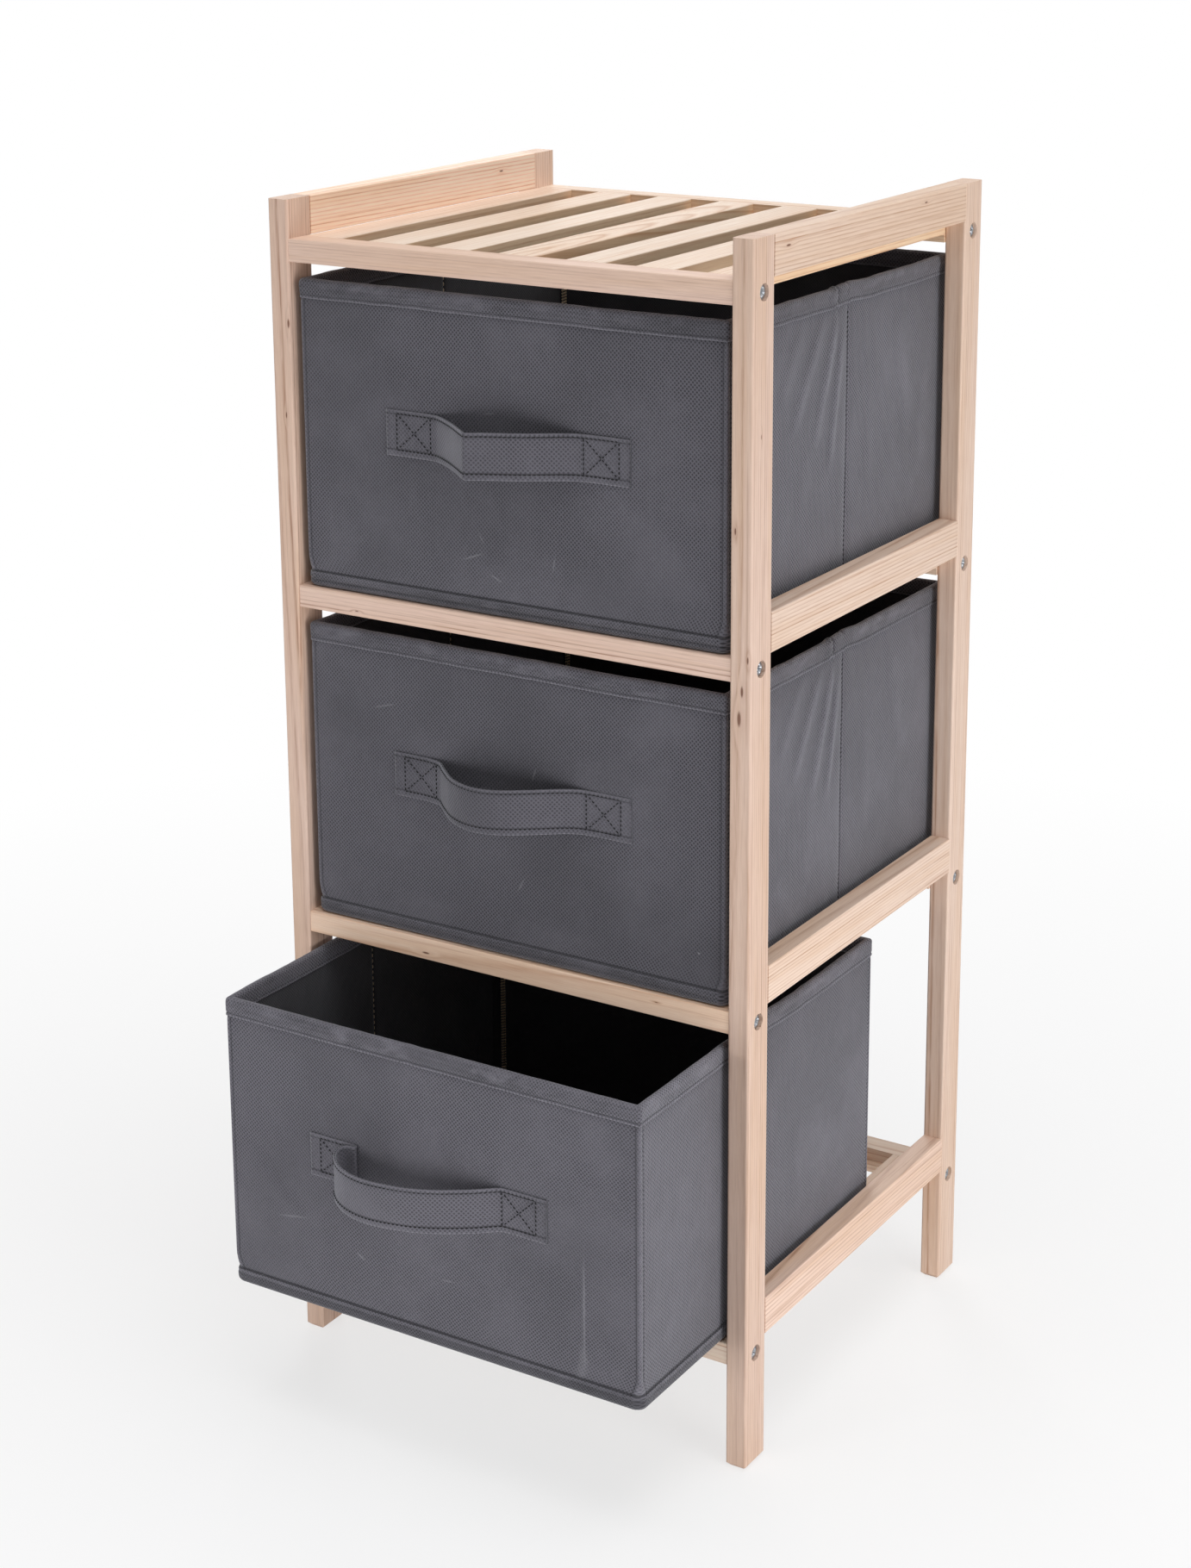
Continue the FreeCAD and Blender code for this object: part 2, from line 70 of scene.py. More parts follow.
def scaled(colour, factor, lift=0.0):
    return tuple(c * factor + lift for c in colour[:3]) + (1.0,)


def between(first, second, share):
    return tuple(a * (1 - share) + b * share for a, b in zip(first, second))


class Shading:
    # one node tree with short calls, so that each finish below reads as a recipe
    def __init__(self, owner, kind="Material"):
        owner.use_nodes = True
        self.owner, self.tree = owner, owner.node_tree
        self.tree.nodes.clear()
        self.out = self.add("Output" + kind)

    def add(self, kind, **settings):
        node = self.tree.nodes.new("ShaderNode" + kind)
        for key, value in settings.items():
            setattr(node, key, value)
        return node

    def join(self, source, node, place):
        if isinstance(source, (int, float, tuple)):
            node.inputs[place].default_value = source
        else:
            self.tree.links.new(source, node.inputs[place])

    def make(self, kind, inputs, **settings):
        # inputs says for each socket what goes there: a plain value or another node's output
        node = self.add(kind, **settings)
        for place, source in inputs.items():
            self.join(source, node, place)
        return node.outputs

    def math(self, operation, first, second=None):
        inputs = {0: first} if second is None else {0: first, 1: second}
        return self.make("Math", inputs, operation=operation)[0]

    def times(self, first, second):
        return self.math("MULTIPLY", first, second)

    def plus(self, first, second):
        return self.math("ADD", first, second)

    def vector(self, operation, first, second=(0, 0, 0)):
        outputs = self.make("VectorMath", {0: first, 1: second}, operation=operation)
        return outputs["Value" if operation == "LENGTH" else "Vector"]

    def mapped(self, source, place=(0, 0, 0), turn=(0, 0, 0), scale=(1, 1, 1)):
        inputs = {"Vector": source, "Location": place, "Rotation": turn, "Scale": scale}
        return self.make("Mapping", inputs)[0]

    def noise(self, source, scale, detail=2.0, roughness=0.5):
        inputs = {"Vector": source, "Scale": scale, "Detail": detail, "Roughness": roughness}
        return self.make("TexNoise", inputs)

    def dice(self, value):
        return self.make("TexWhiteNoise", {"W": value}, noise_dimensions="1D")

    def sway(self, colour, reach):
        # a random colour as a shift to either side, by up to half of reach
        return self.vector("MULTIPLY", self.vector("SUBTRACT", colour, (0.5, 0.5, 0.5)), reach)

    def span(self, source, low, high, toLow=0.0, toHigh=1.0, smooth=False):
        inputs = {"Value": source, "From Min": low, "From Max": high, "To Min": toLow, "To Max": toHigh}
        return self.make("MapRange", inputs, interpolation_type="SMOOTHSTEP" if smooth else "LINEAR")[0]

    def blend(self, amount, first, second, mode="MIX"):
        return self.make("Mix", {0: amount, 6: first, 7: second}, data_type="RGBA", blend_type=mode)[2]

    def veil(self, shade, colour, amount, source, low, high, smooth=False):
        # lays a colour over a shade where source climbs from low to high
        share = self.times(self.span(source, low, high, smooth=smooth), amount)
        return self.blend(share, shade, colour)

    def ramp(self, source, stops):
        node = self.add("ValToRGB")
        self.join(source, node, "Fac")
        band = node.color_ramp
        while len(band.elements) < len(stops):
            band.elements.new(0.5)
        for element, (place, grey) in zip(band.elements, stops):
            element.position = place
            element.color = (grey, grey, grey, 1.0)
        return node.outputs["Color"]

    def bump(self, height, depth, strength, **under):
        return self.make("Bump", {"Strength": strength, "Distance": depth, "Height": height, **under})[0]

    def mixShaders(self, share, first, second):
        return self.make("MixShader", {0: share, 1: first, 2: second})[0]

    def surface(self, shader):
        self.join(shader, self.out, "Surface")
        return self.owner

    def finish(self, **sockets):
        inputs = {name.replace("_", " "): value for name, value in sockets.items()}
        return self.surface(self.make("BsdfPrincipled", inputs)[0])


def newShading(name):
    return Shading(bpy.data.materials.new(name))


# camera, light and floor

camera = {
    "place": (978.7, -1534.2, 1054.5), "yaw": 0.549, "pitch": 0.2503, "roll": -0.0033,
    "lens": 65.22, "sensor": 36.0, "shift": (-0.0243, -0.16),
    "near": 0.05, "far": 60.0,      # in m
}

studio = {
    "sky": 0.20,                # even light from all round
    "floor": (244, 244, 245),
    "white": (0.68, 1.0),       # how much of the floor is plain white near the object and far off
    "reach": (0.3, 1.3),        # near and far, in m
    "lamps": [                  # name, place, aimed at and side in m, watts
        ("topLamp", (0.4, -0.1, 2.9), (0.0, 0.05, 0.5), 2.0, 43.0),
        ("rightLamp", (2.5, -0.7, 0.85), (0.0, 0.1, 0.35), 1.4, 14.0),
        ("lowRightLamp", (1.4, -0.35, 0.26), (0.1, 0.0, 0.15), 0.5, 6.5),
        ("lowFrontLamp", (-0.45, -1.4, 0.25), (0.0, 0.0, 0.12), 0.5, 6.2),
        ("rearLamp", (-1.6, 2.2, 0.55), (0.0, 0.0, 0.3), 1.0, 32.0),
    ],
}
plainWhite = (1.0, 1.0, 1.0, 1.0)


def placeCamera():
    yaw, pitch, roll = camera["yaw"], camera["pitch"], camera["roll"]
    ahead = Vector((-math.sin(yaw) * math.cos(pitch), math.cos(yaw) * math.cos(pitch), -math.sin(pitch)))
    level = ahead.cross(Vector((0, 0, 1))).normalized()
    over = level.cross(ahead)
    right = math.cos(roll) * level + math.sin(roll) * over
    up = -math.sin(roll) * level + math.cos(roll) * over
    data = bpy.data.cameras.new("photoCamera")
    data.lens, data.sensor_width = camera["lens"], camera["sensor"]
    data.shift_x, data.shift_y = camera["shift"]
    data.clip_start, data.clip_end = camera["near"], camera["far"]
    eye = addObject("photoCamera", data)
    turn = Matrix((right, up, -ahead)).transposed()
    eye.matrix_world = Matrix.Translation(Vector(camera["place"]) / 1000) @ turn.to_4x4()
    bpy.context.scene.camera = eye


def lightStudio():
    world = bpy.data.worlds.new("studioWorld")
    bpy.context.scene.world = world
    sky = Shading(world, "World")
    rays = sky.add("LightPath").outputs
    seen = sky.math("MAXIMUM", rays["Is Camera Ray"], rays["Is Glossy Ray"])
    seen = sky.math("MAXIMUM", seen, rays["Is Transmission Ray"])
    dim, bright = (sky.make("Background", {"Color": plainWhite, "Strength": strength})[0]
                   for strength in (studio["sky"], 1.0))
    sky.surface(sky.mixShaders(seen, dim, bright))
    for name, place, target, side, watts in studio["lamps"]:
        data = bpy.data.lights.new(name, "AREA")
        data.shape, data.size, data.energy = "SQUARE", side, watts
        lamp = addObject(name, data)
        lamp.location = place
        lamp.rotation_euler = (Vector(target) - Vector(place)).to_track_quat("-Z", "Y").to_euler()
        lamp.visible_camera = False


def layFloor():
    mesh = bpy.data.meshes.new("studioFloor")
    mesh.from_pydata([(-9, -9, 0), (9, -9, 0), (9, 9, 0), (-9, 9, 0)], [], [(0, 1, 2, 3)])
    floor = addObject("studioFloor", mesh)
    paint = newShading("studioFloorPaint")
    apart = paint.vector("LENGTH", paint.add("TexCoord").outputs["Object"])
    fade = paint.span(apart, *studio["reach"], *studio["white"])
    share = paint.times(paint.add("LightPath").outputs["Is Camera Ray"], fade)
    matt = paint.make("BsdfDiffuse", {"Color": screenColour(*studio["floor"])})[0]
    bright = paint.make("Emission", {"Color": plainWhite})[0]
    floor.data.materials.append(paint.surface(paint.mixShaders(share, matt, bright)))


placeCamera()
lightStudio()
layFloor()
bpy.context.scene.view_settings.view_transform = "Standard"
print("camera, lamps and floor are set")


# pine, cut from one heart axis per piece: rings about that axis, fibres along it

pine = {
    "cream": (244, 226, 209), "creamLine": (190, 132, 82),      # most slats and rails
    "rose": (241, 212, 195), "roseLine": (160, 110, 84),        # the posts and the right rails
    # warm is the wood's own warmer tone; the colour after it is painted warm bounce light for the faces
    # between slats
    "warm": (229, 192, 158), "paintedBounce": (255, 243, 219), "knot": (112, 70, 50),
    "ringPitch": 2.5,        # mm between two dark lines
    "lateShare": 0.95,       # how dark the dark lines are
    "wander": 4.5,           # mm that the rings stray
    "fibre": 0.18, "streak": 0.32, "blotch": 0.34, "pore": 0.26, "roughness": 0.52,
    "ring": [(0.0, 0.03), (0.46, 0.10), (0.66, 0.50), (0.80, 1.0), (0.91, 0.42), (1.0, 0.03)],
}


def knotFields(wood, raw, grain, knots):
    # two fields, 1 in each small knot and 0 away from it: its dark core, and where the rings bend round it
    stretch = {"x": (0.26, 1, 1), "y": (1, 0.26, 1), "z": (1, 1, 0.26)}[grain]
    core, bend = 0.0, 0.0
    for place, size in knots:
        near = wood.vector("MULTIPLY", wood.vector("SUBTRACT", raw, metres(place)), stretch)
        near = wood.vector("LENGTH", near)
        core = wood.math("MAXIMUM", core, wood.span(near, size * 0.8 / 1000, size / 3000, smooth=True))
        bend = wood.math("MAXIMUM", bend, wood.span(near, size * 3.4 / 1000, 0.0, smooth=True))
    return core, bend


def cutPlace(wood, raw, grain, middle, heart, tilt, seed, lots):
    # where each point of a piece was in its log, whose heart runs along z
    turn = {"x": (0, -math.pi / 2, 0), "y": (math.pi / 2, 0, 0), "z": (0, 0, 0)}[grain]
    centred = wood.vector("SUBTRACT", raw, metres(middle))
    if lots is not None:              # slats that lie side by side get a cut of their own
        first, spacing = metres(lots)
        across = wood.math("SUBTRACT", wood.make("SeparateXYZ", {0: raw})[0], first)
        index = wood.math("FLOOR", wood.math("DIVIDE", across, spacing))
        dice = wood.dice(wood.plus(index, seed + 0.5))
        centred = wood.vector("ADD", centred, wood.sway(dice["Color"], (0.05, 0.9, 0.05)))
    place = (-heart[0] / 1000, -heart[1] / 1000, 0.37 * seed)
    return wood.mapped(wood.mapped(centred, turn=turn), place=place, turn=(*metres(tilt), 0))


def fibres(wood, cut, scale, stretch, detail=2.0, roughness=0.5):
    # noise drawn out along the grain
    return wood.noise(wood.mapped(cut, scale=(1, 1, stretch)), scale, detail, roughness)


def yearRings(wood, cut, bend, pitch, wander, clear):
    # the dark lines, 0 to 1: they stray, bend round knots, differ in strength and break into dashes
    reach = pine["wander"] * wander / 1000
    drift = wood.sway(fibres(wood, cut, 13.0, 0.14)["Color"], (reach, reach, 0.0))
    flat = wood.vector("MULTIPLY", wood.vector("ADD", cut, drift), (1.0, 1.0, 0.0))
    radius = wood.plus(wood.vector("LENGTH", flat), wood.times(bend, 0.0016))
    uneven = wood.times(fibres(wood, cut, 48.0, 0.01, 1.0)["Fac"], 1.8)
    count = wood.plus(wood.math("DIVIDE", radius, pine["ringPitch"] * pitch / 1000), uneven)
    rings = wood.ramp(wood.math("FRACT", count), pine["ring"])
    strength = wood.math("POWER", wood.dice(wood.math("FLOOR", count))["Value"], 1.6)     # one for each ring
    rings = wood.times(rings, wood.span(strength, 0.0, 1.0, 0.22 + 0.6 * clear, 1.0))
    broken = fibres(wood, cut, 620.0, 0.05, 2.0, 0.6)["Fac"]
    return wood.times(rings, wood.span(broken, 0.34, 0.60, 0.25 + 0.6 * clear, 1.0))


def makePine(name, grain, middle, heart, tilt, pitch=1.0, toneAndPaintedLight=0.0, rosy=0.0, amber=0.0, paintedBounce=0.0,
             clear=0.0, late=1.0, wander=1.0, seed=0, knots=(), lots=None):
    # heart is the ring centre's distance across the grain from the piece's middle, tilt is in thousandths
    wood = newShading(name)
    raw = wood.add("TexCoord").outputs["Object"]
    cut = cutPlace(wood, raw, grain, middle, heart, tilt, seed, lots)
    core, bend = knotFields(wood, raw, grain, knots)
    rings = yearRings(wood, cut, bend, pitch, wander, clear)
    blotch, streak = (fibres(wood, cut, *sizes)["Fac"] for sizes in ((24.0, 0.14), (150.0, 0.03)))
    pores = fibres(wood, cut, 520.0, 0.010, 2.0, 0.6)["Fac"]
    strands = fibres(wood, cut, 1700.0, 0.03, 3.0, 0.6)["Fac"]
    # tone shifts a piece's brightness: partly the wood's own tone, partly painted light and shade for how its
    # seen faces are lit
    early, dark = (scaled(between(screenColour(*pine[a]), screenColour(*pine[b]), rosy), 1 + toneAndPaintedLight)
                   for a, b in (("cream", "rose"), ("creamLine", "roseLine")))
    warm = scaled(screenColour(*pine["warm"]), 1 + toneAndPaintedLight)
    shade = between(early, warm, amber)
    shade = wood.veil(shade, warm, pine["blotch"], blotch, 0.40, 0.72, smooth=True)
    shade = wood.veil(shade, warm, pine["streak"], streak, 0.50, 0.72, smooth=True)
    shade = wood.blend(wood.times(rings, min(pine["lateShare"] * late, 1.0)), shade, dark)
    shade = wood.veil(shade, dark, pine["fibre"], strands, 0.35, 0.7)
    shade = wood.veil(shade, dark, pine["pore"], pores, 0.60, 0.70)
    if paintedBounce > 0:                     # painted bounce light: faces between the slats are tinted warm, as if lit only by light coming off the wood
        facing = wood.make("SeparateXYZ", {0: wood.add("TexCoord").outputs["Normal"]})[2]
        upright = wood.span(wood.math("ABSOLUTE", facing), 0.6, 0.3)
        bright = screenColour(*pine["paintedBounce"])
        shade = wood.blend(wood.times(upright, paintedBounce), shade, bright, "MULTIPLY")
    if knots:
        shade = wood.blend(wood.times(bend, 0.16), shade, dark)
        shade = wood.blend(wood.times(core, 0.9), shade, screenColour(*pine["knot"]))
    height = wood.plus(wood.times(rings, 0.6), wood.times(strands, 0.8))
    rough = wood.span(strands, 0.2, 0.8, pine["roughness"] - 0.06, pine["roughness"] + 0.1)
    return wood.finish(Base_Color=shade, Roughness=rough, Normal=wood.bump(height, 0.00012, 0.5),
                       Specular_IOR_Level=0.35, IOR=1.45)


# spun-bonded fabric, embossed with small lozenges

cloth = {
    "cover": {"colour": (95, 93, 101), "pitch": 2.0, "depth": 0.26, "contrast": 0.66},
    "tape": {"colour": (97, 95, 103), "pitch": 1.85, "depth": 0.30, "contrast": 0.82},
    "lining": {"colour": (45, 44, 48), "pitch": 1.6, "depth": 0.12, "contrast": 0.25},
    "strap": {"colour": (97, 95, 103), "pitch": 2.1, "depth": 0.24, "contrast": 0.50},
    "mark": (150, 150, 156), "sheen": (0.92, 0.94, 1.0, 1.0),
    "pulled": (0.28, 0.22),     # on tape, how strong the dark and the pale lines along it are
    "web": 0.14, "smear": 0.48, "gloom": 0.34, "wisp": 0.16, "fuzz": 0.12,      # how strong each layer is
}


def lozenges(fabric, place, pitch):
    # 0 in a dimple of the embossing, 1 between
    lattice = fabric.mapped(place, turn=(0, 0, math.radians(45)), scale=(1000 / pitch, 1000 / pitch, 1))
    inputs = {"Vector": lattice, "Scale": 1.0, "Randomness": 0.08}
    dots = fabric.make("TexVoronoi", inputs, voronoi_dimensions="2D")
    return fabric.span(dots["Distance"], 0.18, 0.50, smooth=True)


def rubbedMark(fabric, shade, place, web, spot, angle, length, width, strength):
    # a faint short line, its sizes in UV millimetres
    level = fabric.vector("SUBTRACT", place, (*metres(spot), 0))
    turned = fabric.mapped(level, turn=(0, 0, math.radians(-angle)))
    turned = fabric.mapped(turned, scale=(1000 / length, 1000 / width, 0))
    bent = fabric.vector("ADD", turned, fabric.sway(web["Color"], (0.2, 1.6, 0)))
    apart = fabric.vector("LENGTH", bent)
    return fabric.veil(shade, screenColour(*cloth["mark"]), strength, apart, 1.0, 0.25, smooth=True)


def makeCloth(name, kind, seed=0, marks=(), toneAndPaintedLight=1.0):
    # the two vertex values that each piece brings: pale wear with painted highlight on ridges and edges, and
    # painted shade in seams, grooves, cuts and under edges
    look = cloth[kind]
    fabric = newShading(name)
    place = fabric.add("UVMap", uv_map="UVMap").outputs[0]
    dimple = lozenges(fabric, place, look["pitch"])
    raw = fabric.add("TexCoord").outputs["Object"]
    moved = fabric.mapped(raw, place=(seed * 1.7, seed * 0.9, seed * 2.3))
    web = fabric.noise(raw, 260.0, 3.0, 0.6)
    fuzz = fabric.noise(raw, 2600.0, 2.0, 0.6)["Fac"]
    smear = fabric.noise(moved, 11.0, 4.0, 0.68)["Fac"]
    gloom = fabric.noise(fabric.mapped(moved, place=(3.1, 1.7, 5.3)), 8.0, 2.0, 0.5)["Fac"]
    wisp = fabric.noise(fabric.mapped(moved, turn=(0.5, 0.7, 0.3), scale=(1, 1, 0.25)), 70.0, 3.0, 0.6)["Fac"]
    # tone scales the whole cloth: painted light, as every drawer is of the same fabric
    colour = scaled(screenColour(*look["colour"]), toneAndPaintedLight)
    dark, light = scaled(colour, 1 - look["contrast"]), scaled(colour, 1 + look["contrast"] * 0.35)
    chalk, paleWearAndHighlight = scaled(colour, 1.32, 0.008), scaled(colour, 1.62, 0.012)
    shade = fabric.blend(dimple, dark, light)
    shade = fabric.veil(shade, chalk, cloth["web"], web["Fac"], 0.45, 0.75)
    shade = fabric.veil(shade, chalk, cloth["smear"], smear, 0.42, 0.70, smooth=True)
    shade = fabric.veil(shade, dark, cloth["gloom"], gloom, 0.42, 0.70, smooth=True)
    shade = fabric.veil(shade, chalk, cloth["wisp"], wisp, 0.56, 0.78, smooth=True)
    shade = fabric.veil(shade, dark, cloth["fuzz"], fuzz, 0.3, 0.7)
    if kind == "tape":                # drawn along its length where the needle pulled it
        drawn = fabric.noise(fabric.mapped(place, scale=(0.05, 1.0, 1.0)), 620.0, 3.0, 0.6)["Fac"]
        shade = fabric.veil(shade, dark, cloth["pulled"][0], drawn, 0.48, 0.68)
        shade = fabric.veil(shade, chalk, cloth["pulled"][1], drawn, 0.46, 0.30)
    # painted light: the first value lightens toward pale wear and painted highlight, the second darkens as
    # painted shade
    wearAndHighlightAmount, paintedShade = (fabric.add("Attribute", attribute_name=key).outputs["Fac"] for key in ("wearAndPaintedHighlight", "crease"))
    wearAndHighlightShare = fabric.times(wearAndHighlightAmount, fabric.span(web["Fac"], 0.3, 0.7, 0.25, 0.75))
    shade = fabric.blend(wearAndHighlightShare, shade, paleWearAndHighlight)
    shade = fabric.blend(fabric.times(paintedShade, 0.8), shade, scaled(colour, 0.16))
    for mark in marks:
        shade = rubbedMark(fabric, shade, place, web, *mark)
    height = fabric.plus(dimple, fabric.times(fuzz, 0.35))
    coarse = fabric.bump(fabric.plus(web["Fac"], fabric.times(smear, 4.0)), 0.0005, 0.35)
    return fabric.finish(Base_Color=shade, Roughness=fabric.span(dimple, 0, 1, 0.94, 0.82),
                         Normal=fabric.bump(height, look["depth"] / 1000, 0.8, Normal=coarse),
                         Specular_IOR_Level=0.20, Sheen_Weight=0.46, Sheen_Roughness=0.5,
                         Sheen_Tint=cloth["sheen"])


# plain finishes: colour, roughness, scale of the grain, contrast, depth of the relief in mm, share of metal
plainLooks = {
    "dowelWood": ((214, 184, 150), 0.7, 900.0, 0.22, 0.1, 0.0),
    "bradSteel": ((170, 171, 172), 0.35, 2400.0, 0.2, 0.02, 0.9),
    "screwZinc": ((176, 180, 185), 0.30, 900.0, 0.30, 0.03, 0.70),
    "greyBoard": ((152, 146, 136), 0.9, 700.0, 0.25, 0.12, 0.0),
    "darkThread": ((18, 18, 21), 0.7, 2000.0, 0.2, 0.05, 0.0),
    "paleThread": ((224, 204, 178), 0.7, 2000.0, 0.2, 0.05, 0.0),
    "seamThread": ((84, 83, 90), 0.8, 2000.0, 0.2, 0.05, 0.0),
}


def makePlain(name, kind, stretch=(1, 1, 1)):
    colour, roughness, grainScale, contrast, depth, metallic = plainLooks[kind]
    paint = newShading(name)
    raw = paint.add("TexCoord").outputs["Object"]
    speck = paint.noise(paint.mapped(raw, scale=stretch), grainScale, 4.0, 0.65)["Fac"]
    cloud = paint.noise(raw, grainScale / 12)["Fac"]
    base = screenColour(*colour)
    dark = scaled(base, 1 - contrast)
    shade = paint.veil(paint.blend(paint.span(speck, 0.3, 0.7), dark, base), dark, contrast, cloud, 0.4, 0.7)
    rough = paint.span(speck, 0.25, 0.75, max(roughness - 0.1, 0.05), min(roughness + 0.1, 1.0))
    return paint.finish(Base_Color=shade, Roughness=rough, Normal=paint.bump(speck, depth / 1000, 0.5),
                        Metallic=metallic, Specular_IOR_Level=0.4)


# helpers for meshes

def smoothStep(value):
    value = np.clip(value, 0.0, 1.0)
    return value * value * (3 - 2 * value)


def bell(value):
    # 1 at 0, falling to about a third at 1
    return np.exp(-value ** 2)


def pathLengths(points):
    # how far each point lies along a line of points
    return np.concatenate([[0.0], np.cumsum(np.linalg.norm(np.diff(points, axis=0), axis=1))])


def ripple(across, up, size, seed):
    # smooth bumps of about that size in mm, from -1 to 1, the same at every run
    cells = 97
    lattice = np.random.RandomState(seed).uniform(-1, 1, (cells, cells))
    u, v = np.asarray(across) / size + 500.0, np.asarray(up) / size + 500.0
    i, j = np.floor(u).astype(int), np.floor(v).astype(int)
    a, b = smoothStep(u - i), smoothStep(v - j)
    pick = lambda di, dj: lattice[(i + di) % cells, (j + dj) % cells]
    return (pick(0, 0) * (1 - a) + pick(1, 0) * a) * (1 - b) + (pick(0, 1) * (1 - a) + pick(1, 1) * a) * b


def crease(across, up, start, end, width, height, taper=0.25):
    # a soft ridge along a line from start to end, dying out at both ends
    (x0, y0), (x1, y1) = start, end
    long = math.hypot(x1 - x0, y1 - y0)
    tx, ty = (x1 - x0) / long, (y1 - y0) / long
    share = ((across - x0) * tx + (up - y0) * ty) / long
    off = (across - x0) * -ty + (up - y0) * tx
    return height * smoothStep(share / taper) * smoothStep((1 - share) / taper) * bell(off / width)


def makeObject(name, points, faces, material, spot=(0, 0, 0), uvs=None, floats=None):
    mesh = bpy.data.meshes.new(name)
    places = (np.asarray(points, dtype=float).reshape(-1, 3) + spot) / 1000
    mesh.from_pydata(places.tolist(), [], [tuple(int(v) for v in f) for f in faces])
    if uvs is not None:
        layer = mesh.uv_layers.new(name="UVMap")
        layer.data.foreach_set("uv", (np.asarray(uvs, dtype=float) / 1000).ravel())
    for key, values in (floats or {}).items():
        layer = mesh.attributes.new(key, "FLOAT", "POINT")
        layer.data.foreach_set("value", np.asarray(values, dtype=float).ravel())
    mesh.polygons.foreach_set("use_smooth", [True] * len(mesh.polygons))
    mesh.update()
    mesh.materials.append(material)
    return addObject(name, mesh)


def gridFaces(rows, cols, closeRows, closeCols, alongRows, alongCols, caps=()):
    # quads of a grid of points, with a UV place for each corner; where the grid closes, the list of
    # lengths along it holds one more value
    i = np.arange(rows if closeRows else rows - 1)
    j = np.arange(cols if closeCols else cols - 1)
    a, b = np.meshgrid(i, j, indexing="ij")
    faces, uvs = [], []
    for di, dj in ((0, 0), (0, 1), (1, 1), (1, 0)):
        faces.append((((a + di) % rows) * cols + (b + dj) % cols).ravel())
        uvs.append(np.stack([alongCols[b + dj].ravel(), alongRows[a + di].ravel()], -1))
    quads = np.stack(faces, -1).tolist()
    corners = np.stack(uvs, 1).reshape(-1, 2).tolist()
    for loop, flat in caps:
        quads.append(loop)
        corners.extend(flat)
    return quads, corners


# the wooden rack: heart is the ring centre across the grain in mm, tilt is in thousandths, and each
# knot has its place in the imported frame and its size in mm

